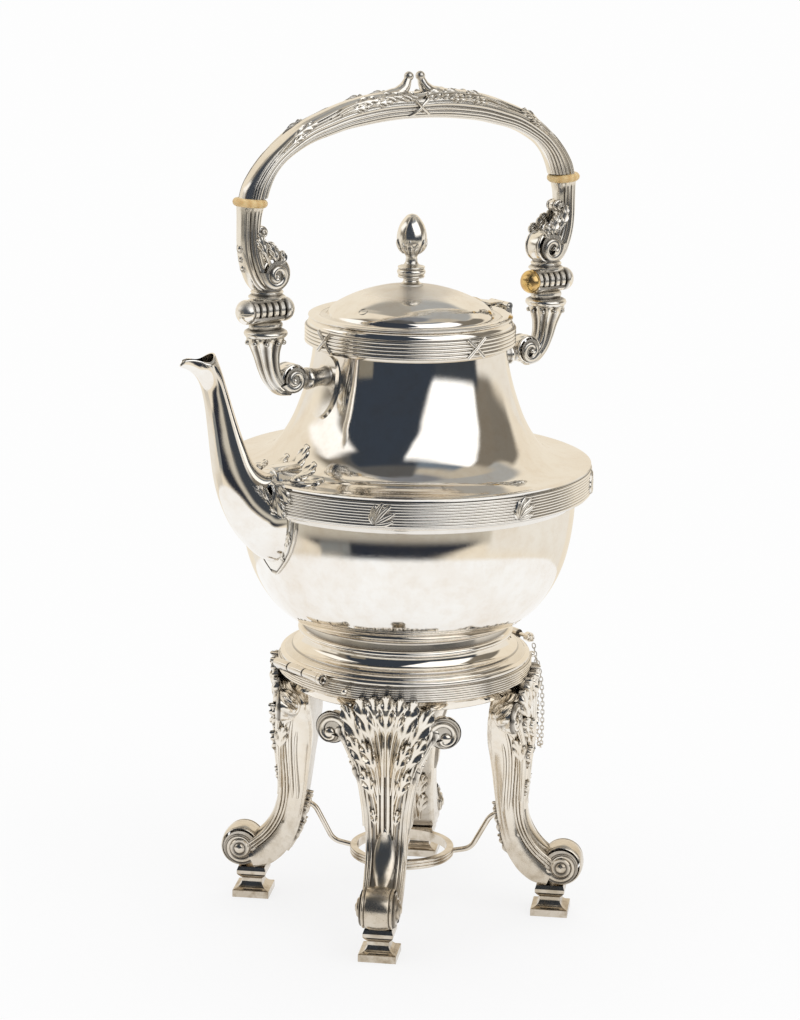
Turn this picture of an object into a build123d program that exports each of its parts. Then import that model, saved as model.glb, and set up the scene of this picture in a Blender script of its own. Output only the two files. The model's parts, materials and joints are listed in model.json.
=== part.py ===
from build123d import *

import os
from math import atan2, cos, degrees, hypot, pi, radians, sin

# Spirit kettle on its stand, in millimetres.
# Origin on the stand's axis at the floor, +Z up, the spout points along -X ("front").
# The spout, the bail handle, the lid hinge and both stand hinges lie in the XZ plane,
# and the four legs stand on the diagonals between the axes.

# ---------------------------------------------------------------- driving dimensions
WALL = 1.2                      # silver sheet of bowl, shoulder and lid
PIVOT_PLAY = 0.06               # radial clearance of every pin in a moving knuckle
KNUCKLE_GAP = 0.3               # gap between neighbouring knuckles

# Stand
PLINTH_REACH = 78.0             # stand axis to the middle of each plinth
PLINTH_BASE = 19.0              # side of the square base
PLINTH_HEIGHT = 16.0
SCROLL_REACH = 83.7             # stand axis to the middle of each foot scroll
SCROLL_HEIGHT = 27.2
SCROLL_RADIUS = 10.8
SCROLL_WIDTH = 19.0
RIM_RADIUS = 64.0               # plain radius under the reeds
RIM_BORE = 57.0
RIM_TOP = 135.0
RIM_REEDS_LOW = 127.4
RIM_COVE_LOW = 121.4
REED_RISE = 0.65                # how far a reed stands out
LEAF_REACH = 66.4               # outer face of the leaf at each leg's top
VOLUTE_OFFSET = 26.5            # sideways from the leg's middle
VOLUTE_HEIGHT = 112.5
VOLUTE_RADIUS = 6.8
BURNER_RING_BORE = 23.4
BURNER_RING_RADIUS = 26.2
BURNER_RING_LOW = 26.6
BURNER_RING_HIGH = 31.4
ARM_WIRE = 2.8                  # wire of the burner ring's arms

# Kettle
FOOT_RADIUS = 63.6
BOWL_RADIUS = 84.6
BOWL_STRAIGHT_LOW = 221.5       # above this height the bowl's wall is upright
GIRDLE_LOW = 221.3
GIRDLE_TOP = 235.4
GIRDLE_RADIUS = 91.9
GIRDLE_REEDS = 8
NECK_RADIUS = 48.2
NECK_TOP = 308.4
NECK_BAND_LOW = 296.0
NECK_BAND_HIGH = 305.0
NECK_BAND_RADIUS = 52.0
NECK_BAND_REEDS = 5

# Lid
LID_SEAT = 308.7
LID_RADIUS = 51.0
DOME_RADIUS = 41.2
DOME_TOP = 324.6
DOME_FLAT = 6.2                 # flat seat under the finial
LID_PLUG_RADIUS = 46.3          # ring that drops into the neck
EYELET_GAP = 0.08               # thickness of the solder under the steam hole's eyelet
FINIAL_TOP = 360.0
FINIAL_STUD = 1.6
LID_AXIS = (57.5, 309.6)        # x, z of the lid's hinge line

# Bail handle
BAIL_AXIS_HEIGHT = 319.5
BAIL_HINGE_REACH = 88.0         # kettle axis to the middle of each hinge
BAIL_PIN = 1.5
BARREL_RADIUS = 4.7
BARREL_KNUCKLES = 5
BARREL_LENGTH = 18.6
CAP_RADIUS = 5.2
INSULATOR_REACH = 97.0
INSULATOR_HEIGHT = 372.0
INSULATOR_RADIUS = 8.4
INSULATOR_THICKNESS = 4.0
INSULATOR_TILT = 5.0            # degrees, the rings lean with the arms
CREST_TOP = 430.0

# Stand hinges
FRONT_HINGE = (-67.3, 136.4)    # x, z of the tilting hinge line
FRONT_HINGE_HALF = 18.5
REAR_LOCK = (67.3, 136.4)
SMALL_BARREL = 2.2
SMALL_PIN = 1.1
LOCK_WITHDRAWN = 6.0            # the locking pin is shown drawn back this far

DIAGONALS = {"front_right": 135, "front_left": 225, "rear_left": 315, "rear_right": 45}


# ---------------------------------------------------------------- helpers
def outline(*pieces):
    """Face from edges and chains drawn as (radius, height), stood up in the XZ plane."""
    edges = [edge for piece in pieces for edge in piece.edges()]
    return Plane.XZ * make_face(edges)


def lathe(*pieces):
    """Turns a closed (radius, height) outline about the vertical axis."""
    return revolve(outline(*pieces), Axis.Z)


def inset(points, gap):
    """Moves a chain of points sideways by gap, to the left of its direction."""
    moved = []
    last = len(points) - 1
    for i, (x, y) in enumerate(points):
        ax, ay = points[max(i - 1, 0)]
        bx, by = points[min(i + 1, last)]
        length = hypot(bx - ax, by - ay)
        moved.append((x - gap * (by - ay) / length, y + gap * (bx - ax) / length))
    return moved


def reeds(radius, low, high, count, rise=REED_RISE):
    """Chain of half-round reeds up a cylinder, from low to high."""
    step = (high - low) / count
    return [
        ThreePointArc(
            (radius, low + i * step),
            (radius + rise, low + (i + 0.5) * step),
            (radius, low + (i + 1) * step),
        )
        for i in range(count)
    ]


def bar(start, end, radius):
    """Round bar between two points."""
    run = Vector(*end) - Vector(*start)
    plane = Plane(origin=start, z_dir=run)
    return plane * Cylinder(radius, run.length, align=(Align.CENTER, Align.CENTER, Align.MIN))


def block(low, high):
    """Box between two corners."""
    size = [b - a for a, b in zip(low, high)]
    return Pos(*low) * Box(*size, align=(Align.MIN, Align.MIN, Align.MIN))


def upright(radius, low, high):
    """Cylinder about the vertical axis."""
    return Pos(0, 0, low) * Cylinder(radius, high - low, align=(Align.CENTER, Align.CENTER, Align.MIN))


def ball(centre, radius):
    return Pos(*centre) * Sphere(radius)


def oval(half_x, half_y, steps=6):
    """Smooth oval of two halves that meet on its local X axis, so that lofts don't twist."""
    turns = [pi * i / steps for i in range(2 * steps + 1)]
    points = [(half_x * cos(t), half_y * sin(t)) for t in turns]
    upper = Spline(*points[:steps + 1], tangents=[(0, 1), (0, -1)])
    lower = Spline(*points[steps:], tangents=[(0, -1), (0, 1)])
    return make_face(upper.edges() + lower.edges())


def loft_sections(sections):
    """Loft through ovals given as (x, z, lean, half width in plane, half width in y).

    Every section stands across the XZ plane; lean is the direction of travel, in degrees
    from +X towards +Z.
    """
    faces = []
    for x, z, lean, across, deep in sections:
        along = (cos(radians(lean)), 0, sin(radians(lean)))
        plane = Plane(origin=(x, 0, z), x_dir=(0, 1, 0), z_dir=along)
        faces.append(plane * oval(deep, across))
    return loft(faces)


def turned(shape, angle):
    """Shape turned about the stand's axis, from the +X side to the given azimuth."""
    return Rot(0, 0, angle) * shape


def mirrored(shape):
    """The same piece on the other side of the kettle."""
    return mirror(shape, about=Plane.YZ)


def write(name, *shapes):
    solids = [solid for shape in shapes for solid in shape.solids()]
    node = solids[0] if len(solids) == 1 else Compound(children=solids)
    node.label = name
    export_step(node, f"parts/{name}.step")


# ---------------------------------------------------------------- stand
def stand_rim():
    low = RIM_TOP - 0.6
    return lathe(
        Polyline((RIM_RADIUS, low), (RIM_RADIUS - 0.5, RIM_TOP), (RIM_BORE, RIM_TOP),
                 (RIM_BORE, RIM_COVE_LOW), (RIM_RADIUS - 4.5, RIM_COVE_LOW)),
        ThreePointArc((RIM_RADIUS - 4.5, RIM_COVE_LOW), (RIM_RADIUS - 3.2, RIM_COVE_LOW + 4.2),
                      (RIM_RADIUS, RIM_REEDS_LOW)),
        *reeds(RIM_RADIUS, RIM_REEDS_LOW, low, 6),
    )


# Half width and the two faces of a leg (distance from the stand's axis) at each height.
LEG_SECTIONS = [
    # across the leg's run: x, z, lean, half thickness, half width
    (56.5, 104.0, -90, 9.8, 17.0),
    (56.3, 94.0, -90, 10.2, 15.0),
    (56.1, 82.0, -89, 9.7, 12.4),
    (56.4, 71.0, -88, 8.8, 10.8),
    (57.3, 60.0, -84, 8.0, 10.0),
    (59.2, 50.0, -76, 7.5, 9.6),
    (62.8, 40.0, -64, 7.5, 9.4),
    (69.2, 30.5, -48, 8.0, 9.3),
    (77.5, 24.0, -28, 7.4, 9.3),
]


def leg_fan():
    """Leg's top seen from the front: the acanthus fan that spreads between two volutes."""
    waist = (9.8, 66.0)
    corner = (VOLUTE_OFFSET + 2, VOLUTE_HEIGHT + 5)
    side = Spline(waist, (12.6, 82.0), (17.2, 95.0), (22.0, 103.0), (VOLUTE_OFFSET, VOLUTE_HEIGHT - 4),
                  tangents=[(0.1, 1), (1, 0.4)])
    top = Spline(corner, (19.0, 122.5), (13.0, 128.5), (6.5, 133.0), (0.0, 134.6))
    half = Curve() + [side, Line(side @ 1, corner), top]
    other = mirror(half, about=Plane.YZ)
    base = Line((-waist[0], waist[1]), waist)
    face = Plane.YZ * make_face(half.edges() + other.edges() + base.edges())
    return extrude(face, 80)


def leg():
    """Leg on the +X side; it is turned to its diagonal afterwards."""
    shaft = loft_sections(LEG_SECTIONS)
    roll = Pos(SCROLL_REACH, 0, SCROLL_HEIGHT) * Rot(90, 0, 0) * Cylinder(SCROLL_RADIUS, SCROLL_WIDTH)
    eye = Pos(SCROLL_REACH, 0, SCROLL_HEIGHT) * Rot(90, 0, 0) * Cylinder(
        0.62 * SCROLL_RADIUS, SCROLL_WIDTH + 3.4)
    pad = block((PLINTH_REACH - 6, -6, PLINTH_HEIGHT), (PLINTH_REACH + 6, 6, PLINTH_HEIGHT + 7))
    outside = lathe(Polyline((LEAF_REACH, 60), (LEAF_REACH, 140), (46, 140), (46, 60), close=True))
    fan = leg_fan() & outside
    hollow = lathe(Polyline((RIM_BORE - 5, RIM_COVE_LOW - 12), (RIM_BORE - 5, 145), (0, 145),
                            (0, RIM_COVE_LOW - 12), close=True))
    volutes = [
        bar((50, side * VOLUTE_OFFSET, VOLUTE_HEIGHT), (61.5, side * VOLUTE_OFFSET, VOLUTE_HEIGHT),
            VOLUTE_RADIUS)
        for side in (-1, 1)
    ]
    envelope = lathe(Polyline((0, RIM_COVE_LOW), (RIM_RADIUS - 4.5, RIM_COVE_LOW),
                              (RIM_RADIUS + REED_RISE, RIM_REEDS_LOW),
                              (RIM_RADIUS + REED_RISE, 150), (0, 150), close=True))
    body = shaft + fan + roll + eye + pad + volutes
    return body - hollow - envelope


def foot_block():
    """Square plinth with a hollow neck, the same on both faces."""
    half = PLINTH_BASE / 2
    side = [
        Polyline((-half, 0), (half, 0), (half, 3.6), (half - 0.7, 4.0)),
        ThreePointArc((half - 0.7, 4.0), (half - 3.3, 5.4), (half - 4.3, 9.4)),
        Polyline((half - 4.3, 9.4), (half - 2.9, 10.9), (half - 1.9, 12.2), (half - 1.9, 14.0),
                 (half - 2.6, PLINTH_HEIGHT), (2.6 - half, PLINTH_HEIGHT), (1.9 - half, 14.0),
                 (1.9 - half, 12.2), (2.9 - half, 10.9), (4.3 - half, 9.4)),
        ThreePointArc((4.3 - half, 9.4), (3.3 - half, 5.4), (0.7 - half, 4.0)),
        Polyline((0.7 - half, 4.0), (-half, 3.6), (-half, 0)),
    ]
    face = outline(*side)
    run = extrude(face, PLINTH_BASE / 2, both=True)
    return Pos(PLINTH_REACH, 0, 0) * (run & Rot(0, 0, 90) * run)


def burner_ring():
    return lathe(
        Polyline((BURNER_RING_RADIUS, BURNER_RING_HIGH), (BURNER_RING_BORE, BURNER_RING_HIGH),
                 (BURNER_RING_BORE, BURNER_RING_LOW), (BURNER_RING_RADIUS, BURNER_RING_LOW)),
        *reeds(BURNER_RING_RADIUS, BURNER_RING_LOW, BURNER_RING_HIGH, 3, 0.7),
    )


def burner_arm(leg_solid):
    """S-curved wire from a leg's inner face to the burner ring, on the +X side."""
    path = FilletPolyline((53, 0, 51.5), (46.5, 0, 51.2), (36, 0, 31.5), (25, 0, 29.2), radius=8)
    wire = sweep(Plane(origin=path @ 0, z_dir=path % 0) * Circle(ARM_WIRE / 2), path=path)
    ring = lathe(Polyline((0, 20), (BURNER_RING_RADIUS + 0.7, 20), (BURNER_RING_RADIUS + 0.7, 40),
                          (0, 40), close=True))
    return wire - leg_solid - ring


def knuckle(x, z, y_low, y_high, bore):
    """Hinge knuckle with its bore, along Y."""
    return bar((x, y_low, z), (x, y_high, z), SMALL_BARREL) - bar((x, y_low, z), (x, y_high, z), bore)


def rim_body():
    """Everything inside the rim's outer surface, for trimming what sits on it."""
    return lathe(Polyline((0, RIM_COVE_LOW - 5), (RIM_RADIUS + REED_RISE, RIM_COVE_LOW - 5),
                          (RIM_RADIUS + REED_RISE, RIM_TOP), (0, RIM_TOP), close=True))


def foot_body():
    """Everything inside the kettle foot's base flange."""
    return lathe(Polyline((0, RIM_TOP), (FOOT_RADIUS, RIM_TOP), (FOOT_RADIUS, RIM_TOP + 3),
                          (0, RIM_TOP + 3), close=True))


def stand_lug(x, z, y_low, y_high, bore):
    """Knuckle with a tongue down the outside of the rim."""
    side = 1 if x > 0 else -1
    near, far = sorted((side * (RIM_RADIUS - 4), x + side * 0.6))
    tongue = block((near, y_low, z - 8), (far, y_high, z)) - rim_body()
    tongue -= foot_body()
    tongue -= bar((x, y_low, z), (x, y_high, z), bore)
    tongue -= block((-80, y_low, RIM_TOP), (80, y_high, z + 8)) - block(
        (min(x - 1.2, x + 1.2), y_low, RIM_TOP), (max(x - 1.2, x + 1.2), y_high, z + 8))
    return knuckle(x, z, y_low, y_high, bore) + tongue


def kettle_lug(x, z, y_low, y_high, bore):
    """Knuckle with a short tongue on to the kettle's foot flange."""
    side = 1 if x > 0 else -1
    near, far = sorted((side * (FOOT_RADIUS - 6), x))
    tongue = block((near, y_low, z + 0.2), (far, y_high, z + SMALL_BARREL)) - foot_body()
    tongue -= block((-80, y_low, 0), (80, y_high, RIM_TOP + 0.4))
    tongue -= bar((x, y_low, z), (x, y_high, z), bore)
    return knuckle(x, z, y_low, y_high, bore) + tongue - kettle_foot()


def front_pin():
    """Headed pin of the tilting hinge, drawn out towards -Y."""
    x, z = FRONT_HINGE
    head = bar((x, -FRONT_HINGE_HALF - 3.4, z), (x, -FRONT_HINGE_HALF - 0.2, z), 2.9)
    return head + bar((x, -FRONT_HINGE_HALF - 0.2, z), (x, FRONT_HINGE_HALF, z), SMALL_PIN)


def rear_pin():
    """Locking pin, drawn back to free the kettle's knuckle."""
    x, z = REAR_LOCK
    tip = 5.4 - LOCK_WITHDRAWN
    head = -10.2 - LOCK_WITHDRAWN
    eye = Pos(x, head - 3.8, z) * Rot(0, 90, 0) * Torus(1.5, 0.55)
    shaft = bar((x, head, z), (x, tip, z), SMALL_PIN)
    return shaft + bar((x, head - 2.6, z), (x, head, z), 2.5) + eye


def chain_stud(x):
    """Small round-headed stud on the rim that holds a safety chain."""
    azimuth = degrees(atan2(-29.0, x))
    height = (RIM_REEDS_LOW + RIM_TOP) / 2
    stud = bar((RIM_RADIUS - 2, 0, height), (RIM_RADIUS + 2.4, 0, height), 1.3)
    stud += ball((RIM_RADIUS + 2.6, 0, height), 1.7)
    return turned(stud, azimuth) - rim_body()


CHAIN_ROUTE = [
    # the pin's ring, down outside the rim, a hanging loop, and up to the rear stud
    (67.3, -21.6, 133.6), (68.6, -22.4, 124.0), (69.4, -22.8, 112.0), (69.9, -23.0, 100.0),
    (70.0, -23.4, 88.0), (69.6, -25.2, 80.2), (68.2, -28.2, 79.6), (66.6, -31.0, 86.0),
    (65.6, -32.4, 96.0), (65.0, -32.6, 108.0), (63.8, -32.0, 120.0), (61.6, -30.8, 129.4),
]
LINK_LENGTH = 3.3
LINK_WIDTH = 2.1
LINK_WIRE = 0.5


def lock_chain():
    """Fine link chain, every link turned a quarter from the one before."""
    route = Spline(*CHAIN_ROUTE)
    pitch = LINK_LENGTH - 2 * LINK_WIRE - 0.08
    count = int(route.length / pitch)
    straight = (LINK_LENGTH - LINK_WIDTH) / 2
    half = (LINK_WIDTH - LINK_WIRE) / 2
    loop = [
        Line((-straight, half), (straight, half)),
        ThreePointArc((straight, half), (straight + half, 0), (straight, -half)),
        Line((straight, -half), (-straight, -half)),
        ThreePointArc((-straight, -half), (-straight - half, 0), (-straight, half)),
    ]
    wire = Wire([edge for piece in loop for edge in piece.edges()])
    start = Plane(origin=(0, half, 0), z_dir=(1, 0, 0))
    link = sweep(start * Circle(LINK_WIRE / 2), path=wire)
    links = []
    for i in range(count):
        here = (i + 0.5) / count
        along = route % here
        flat = along.cross(Vector(1, 0, 0)).normalized()
        plane = Plane(origin=route @ here, x_dir=along, z_dir=flat)
        links.append(plane * Rot(45 + 90 * (i % 2), 0, 0) * link)
    return links


# ---------------------------------------------------------------- kettle
BOWL_LINE = [
    (0.0, 150.2), (30.0, 150.4), (46.0, 151.4), (54.0, 154.0), (60.0, 157.4), (66.0, 162.4),
    (71.5, 169.0), (76.0, 176.5), (79.7, 185.5), (82.3, 196.0), (84.0, 208.5),
    (BOWL_RADIUS, BOWL_STRAIGHT_LOW),
]
SHOULDER_LINE = [
    (90.6, 236.8), (82.0, 237.0), (75.5, 238.2), (70.6, 240.6), (66.4, 244.4), (62.4, 249.8),
    (58.4, 257.0), (55.0, 265.5), (51.8, 275.5), (49.4, 286.0), (NECK_RADIUS, NECK_BAND_LOW),
]


def bowl_body(gap=0.0):
    """Bowl as a full solid, its surface moved inwards by gap."""
    line = inset(BOWL_LINE, gap) if gap else BOWL_LINE
    line[0] = (0.0, BOWL_LINE[0][1] + gap)
    line[-1] = (BOWL_RADIUS - gap, BOWL_STRAIGHT_LOW)
    return lathe(
        Spline(*line, tangents=[(1, 0), (0, 1)]),
        Polyline(line[-1], (BOWL_RADIUS - gap, GIRDLE_TOP), (0, GIRDLE_TOP), line[0]),
    )


def shoulder_body(rise=0.0):
    """Shoulder and neck as a full solid above the girdle, its surface raised by rise."""
    line = inset(SHOULDER_LINE, -rise)
    line[-1] = (NECK_RADIUS + rise, NECK_BAND_LOW)
    edge = (GIRDLE_RADIUS, GIRDLE_TOP)
    return lathe(
        Spline(*line, tangents=[(-1, 0), (0, 1)]),
        Polyline(line[-1], (NECK_RADIUS + rise, NECK_TOP), (0, NECK_TOP), (0, GIRDLE_TOP), edge),
        ThreePointArc(edge, (GIRDLE_RADIUS + 0.1, GIRDLE_TOP + 0.9), line[0]),
    )


def shoulder_space():
    """Room inside the shoulder and neck."""
    line = inset(SHOULDER_LINE, WALL)[3:-1]
    start = (BOWL_RADIUS - WALL, GIRDLE_TOP)
    finish = (NECK_RADIUS - WALL, NECK_BAND_LOW)
    return lathe(
        Spline(start, *line, finish, tangents=[(-1, 0.2), (0, 1)]),
        Polyline(finish, (NECK_RADIUS - WALL, NECK_TOP + 1), (0, NECK_TOP + 1), (0, GIRDLE_TOP - 1),
                 (BOWL_RADIUS - WALL, GIRDLE_TOP - 1), start),
    )


SPOUT_LINE = [
    # x, z, lean of the run, half width in plane, half width in y
    (-70.0, 217.0, 180, 26.0, 17.0),
    (-83.0, 218.5, 178, 24.0, 15.5),
    (-92.0, 223.0, 160, 19.0, 13.0),
    (-100.0, 231.0, 140, 14.2, 11.0),
    (-105.8, 241.5, 122, 11.0, 9.6),
    (-109.6, 254.0, 109, 8.8, 8.4),
    (-112.6, 266.0, 104, 7.3, 7.3),
    (-115.6, 278.0, 104, 6.2, 6.4),
    (-119.0, 289.0, 111, 6.0, 5.7),
    (-124.4, 298.4, 126, 7.6, 5.2),
    (-130.4, 304.4, 139, 9.9, 4.4),
]
SPOUT_LIP = (-136.7, 298.3)     # x, z of the pouring edge
SPOUT_MOUTH_TILT = 8.0          # degrees, the mouth rises towards the kettle


def spout_form(gap=0.0):
    """Tapering S-curved tube, its surface moved inwards by gap."""
    return loft_sections([(x, z, lean, a - gap, b - gap) for x, z, lean, a, b in SPOUT_LINE])


def spout_solid():
    """Spout with its bore, cut to a slanting mouth and pinched to a pouring lip."""
    mouth = Pos(SPOUT_LIP[0] - 5, 0, SPOUT_LIP[1] - 0.7) * Rot(0, -SPOUT_MOUTH_TILT, 0) * Box(
        60, 40, 30, align=(Align.MIN, Align.CENTER, Align.MIN))
    inner_shoulder = shoulder_body() & upright(BOWL_RADIUS, 200, 320)
    spout = spout_form() - spout_form(WALL) - mouth - bowl_body() - inner_shoulder
    return max(spout.solids(), key=lambda solid: solid.volume)


def spout_leaf():
    """Applied acanthus leaf that spreads over the shoulder behind the spout."""
    half = [(-88.0, -12.0), (-86.0, -18.0), (-79.0, -24.0), (-70.0, -27.0), (-66.0, -19.0),
            (-61.0, -14.0), (-62.0, -7.0), (-57.0, 0.0)]
    other = [(x, -y) for x, y in reversed(half[:-1])]
    plate = make_face(Polyline(*half, *other, close=True).edges())
    return (Pos(0, 0, 230) * extrude(plate, 30) & shoulder_body(1.3)) - shoulder_body() - spout_form()


def spout_shield():
    """Pointed plate that the spout's root grows from, lying on the bowl."""
    half = [(19.5, 221.0), (18.5, 212.0), (14.5, 202.0), (8.5, 194.5), (0.0, 187.5)]
    left = [(-y, z) for y, z in reversed(half[:-1])]
    plate = Plane.YZ * make_face(Polyline(*half, *left, close=True).edges())
    band = revolve(
        outline(Polyline((70, 180), (88, 180), (88, GIRDLE_LOW), (70, GIRDLE_LOW), close=True)), Axis.Z)
    skin = extrude(plate, -100) & band & lathe(
        Spline(*[(r + 1.1, z) for r, z in BOWL_LINE[5:]]),
        Polyline((BOWL_RADIUS + 1.1, BOWL_STRAIGHT_LOW), (0, BOWL_STRAIGHT_LOW), (0, 162.4),
                 (67.1, 162.4)),
    )
    return skin - bowl_body() - spout_form()


def kettle_bowl():
    shell = bowl_body() - bowl_body(WALL)
    shell -= upright(BOWL_RADIUS - WALL, GIRDLE_TOP - 5, GIRDLE_TOP + 5)
    for z, offsets in ((206, (-5, 5)), (214, (-9, 0, 9)), (222, (-5, 5))):
        for y in offsets:
            shell -= bar((-70, y, z), (-95, y, z), 1.9)
    return shell


def kettle_shoulder():
    shell = shoulder_body() - shoulder_space()
    return shell - (spout_form() - upright(BOWL_RADIUS, 180, 320))


def girdle_band():
    """Reeded moulding that hides the seam; it stops at each side of the spout."""
    ring = lathe(
        Polyline((GIRDLE_RADIUS, GIRDLE_TOP - 1.2), (GIRDLE_RADIUS, GIRDLE_TOP),
                 (BOWL_RADIUS, GIRDLE_TOP), (BOWL_RADIUS, GIRDLE_LOW), (90.0, GIRDLE_LOW),
                 (GIRDLE_RADIUS - 0.3, GIRDLE_LOW + 0.9), (GIRDLE_RADIUS, GIRDLE_LOW + 0.9)),
        *reeds(GIRDLE_RADIUS, GIRDLE_LOW + 0.9, GIRDLE_TOP - 1.2, GIRDLE_REEDS, 0.55),
    )
    return ring - spout_form()


def girdle_leaves(band):
    """Leaf clasps over the reeds, one every eighth of a turn except at the spout."""
    middle = (GIRDLE_LOW + GIRDLE_TOP) / 2 - 0.4
    leaf = Pos(GIRDLE_RADIUS - 0.2, 0, middle) * scale(Sphere(1), by=(2.3, 6.6, 7.4))
    core = lathe(Polyline((0, GIRDLE_LOW), (GIRDLE_RADIUS, GIRDLE_LOW), (GIRDLE_RADIUS, GIRDLE_TOP + 1.6),
                          (0, GIRDLE_TOP + 1.6), close=True))
    clasp = leaf - core - upright(GIRDLE_RADIUS + 5, 200, GIRDLE_LOW)
    return [turned(clasp, angle) - band for angle in range(0, 360, 45) if angle != 180]


def kettle_foot():
    """Foot ring: base flange, stepped flare, hollow and bead."""
    r = FOOT_RADIUS
    low = RIM_TOP
    return lathe(
        Polyline((r - 0.3, low), (r, low + 0.4), (r, low + 1.6)),
        ThreePointArc((r, low + 1.6), (r - 1.0, low + 2.6), (r - 2.2, low + 2.7)),
        ThreePointArc((r - 2.2, low + 2.7), (r - 3.4, low + 4.1), (r - 5.6, low + 4.6)),
        Line((r - 5.6, low + 4.6), (r - 6.4, low + 5.6)),
        ThreePointArc((r - 6.4, low + 5.6), (r - 10.2, low + 8.6), (r - 10.6, low + 12.2)),
        ThreePointArc((r - 10.6, low + 12.2), (r - 8.9, low + 13.7), (r - 10.6, low + 15.2)),
        Polyline((r - 10.6, low + 15.2), (r - 11.6, low + 16.2), (r - 11.6, low + 20),
                 (r - 14.0, low + 20), (r - 14.0, low + 10), (r - 12.0, low + 7.0),
                 (r - 8.4, low + 3.4), (r - 3.2, low + 1.2), (r - 2.6, low), (r - 0.3, low)),
    ) - bowl_body()


def neck_band():
    """Reeded moulding round the mouth with a small step above it."""
    r = NECK_BAND_RADIUS
    return lathe(
        *reeds(r, NECK_BAND_LOW, NECK_BAND_HIGH, NECK_BAND_REEDS, 0.7),
        Polyline((r, NECK_BAND_HIGH), (r - 1.0, NECK_BAND_HIGH + 0.5), (r - 1.3, NECK_TOP - 1),
                 (r - 2.0, NECK_TOP), (NECK_RADIUS, NECK_TOP), (NECK_RADIUS, NECK_BAND_LOW - 2.4),
                 (r - 2.6, NECK_BAND_LOW - 0.8), (r, NECK_BAND_LOW)),
    ) - shoulder_body()


def neck_ribbon_ties(band):
    """Crossed ribbons over the neck moulding, a quarter turn apart."""
    middle = (NECK_BAND_LOW + NECK_BAND_HIGH) / 2
    skin = lathe(Polyline((NECK_BAND_RADIUS + 0.2, 290), (NECK_BAND_RADIUS + 1.5, 290),
                          (NECK_BAND_RADIUS + 1.5, 311), (NECK_BAND_RADIUS + 0.2, 311), close=True))
    ties = []
    for angle in (90, 180, 270):
        cross = [Pos(NECK_BAND_RADIUS, 0, middle) * Rot(lean, 0, 0) * Box(8, 12.4, 2.0)
                 for lean in (38, -38)]
        ties.append(turned((cross[0] + cross[1]) & skin, angle) - band)
    return ties


# ---------------------------------------------------------------- lid
def dome_line(gap=0.0):
    """Outside of the lid's dome, from the flat under the finial down to the flange."""
    r = DOME_RADIUS + gap
    top = DOME_TOP + gap
    return [
        ThreePointArc((DOME_FLAT, top), (21.0, top - 1.7), (36.2, top - 5.8)),
        ThreePointArc((36.2, top - 5.8), (r - 1.0, top - 8.6), (r, LID_SEAT + 3.0)),
    ]


def dome_body(low, gap=0.0):
    """Everything under the lid's dome, down to a height, or that grown by a gap."""
    r = DOME_RADIUS + gap
    top = DOME_TOP + gap
    return lathe(*dome_line(gap), Polyline((r, LID_SEAT + 3.0), (r, low), (0, low), (0, top),
                                           (DOME_FLAT, top)))


def lid_dome():
    r = DOME_RADIUS
    shell = lathe(
        Line((0, DOME_TOP), (DOME_FLAT, DOME_TOP)),
        *dome_line(),
        ThreePointArc((r, LID_SEAT + 3.0), (r + 0.8, LID_SEAT + 2.4), (r + 3.0, LID_SEAT + 2.2)),
        Line((r + 3.0, LID_SEAT + 2.2), (LID_RADIUS - 0.8, LID_SEAT + 1.9)),
        ThreePointArc((LID_RADIUS - 0.8, LID_SEAT + 1.9), (LID_RADIUS, LID_SEAT + 1.0),
                      (LID_RADIUS - 0.6, LID_SEAT)),
        Polyline((LID_RADIUS - 0.6, LID_SEAT), (LID_PLUG_RADIUS, LID_SEAT),
                 (LID_PLUG_RADIUS - WALL, LID_SEAT), (r - WALL, LID_SEAT + 1.0)),
        ThreePointArc((r - WALL, LID_SEAT + 1.0), (r - 2.2, DOME_TOP - 9.3), (35.6, DOME_TOP - 7.0)),
        ThreePointArc((35.6, DOME_TOP - 7.0), (21.0, DOME_TOP - 2.9), (DOME_FLAT - 1, DOME_TOP - WALL)),
        Polyline((DOME_FLAT - 1, DOME_TOP - WALL), (0, DOME_TOP - WALL), (0, DOME_TOP)),
    )
    stud_hole = upright(FINIAL_STUD, DOME_TOP - 10, DOME_TOP + 2)
    vent = turned(bar((30, 0, LID_SEAT + 5.4), (50, 0, LID_SEAT + 5.4), 1.5), 193)
    return shell - stud_hole - vent


def lid_vent_eyelet():
    """Small raised eyelet round the steam hole in the lid's side."""
    height = LID_SEAT + 5.4
    ring = bar((36, 0, height), (41.6, 0, height), 2.6) - bar((30, 0, height), (50, 0, height), 1.5)
    proud = turned(ring, 193) - dome_body(LID_SEAT + 2.8, EYELET_GAP)
    return max(proud.solids(), key=lambda solid: solid.volume)


def lid_bezel():
    """Ring under the lid that drops into the neck."""
    outer = LID_PLUG_RADIUS
    return lathe(Polyline((outer, LID_SEAT), (outer, LID_SEAT - 7.5), (outer - 0.4, LID_SEAT - 8.3),
                          (outer - WALL, LID_SEAT - 8.3), (outer - WALL, LID_SEAT), close=True))


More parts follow.
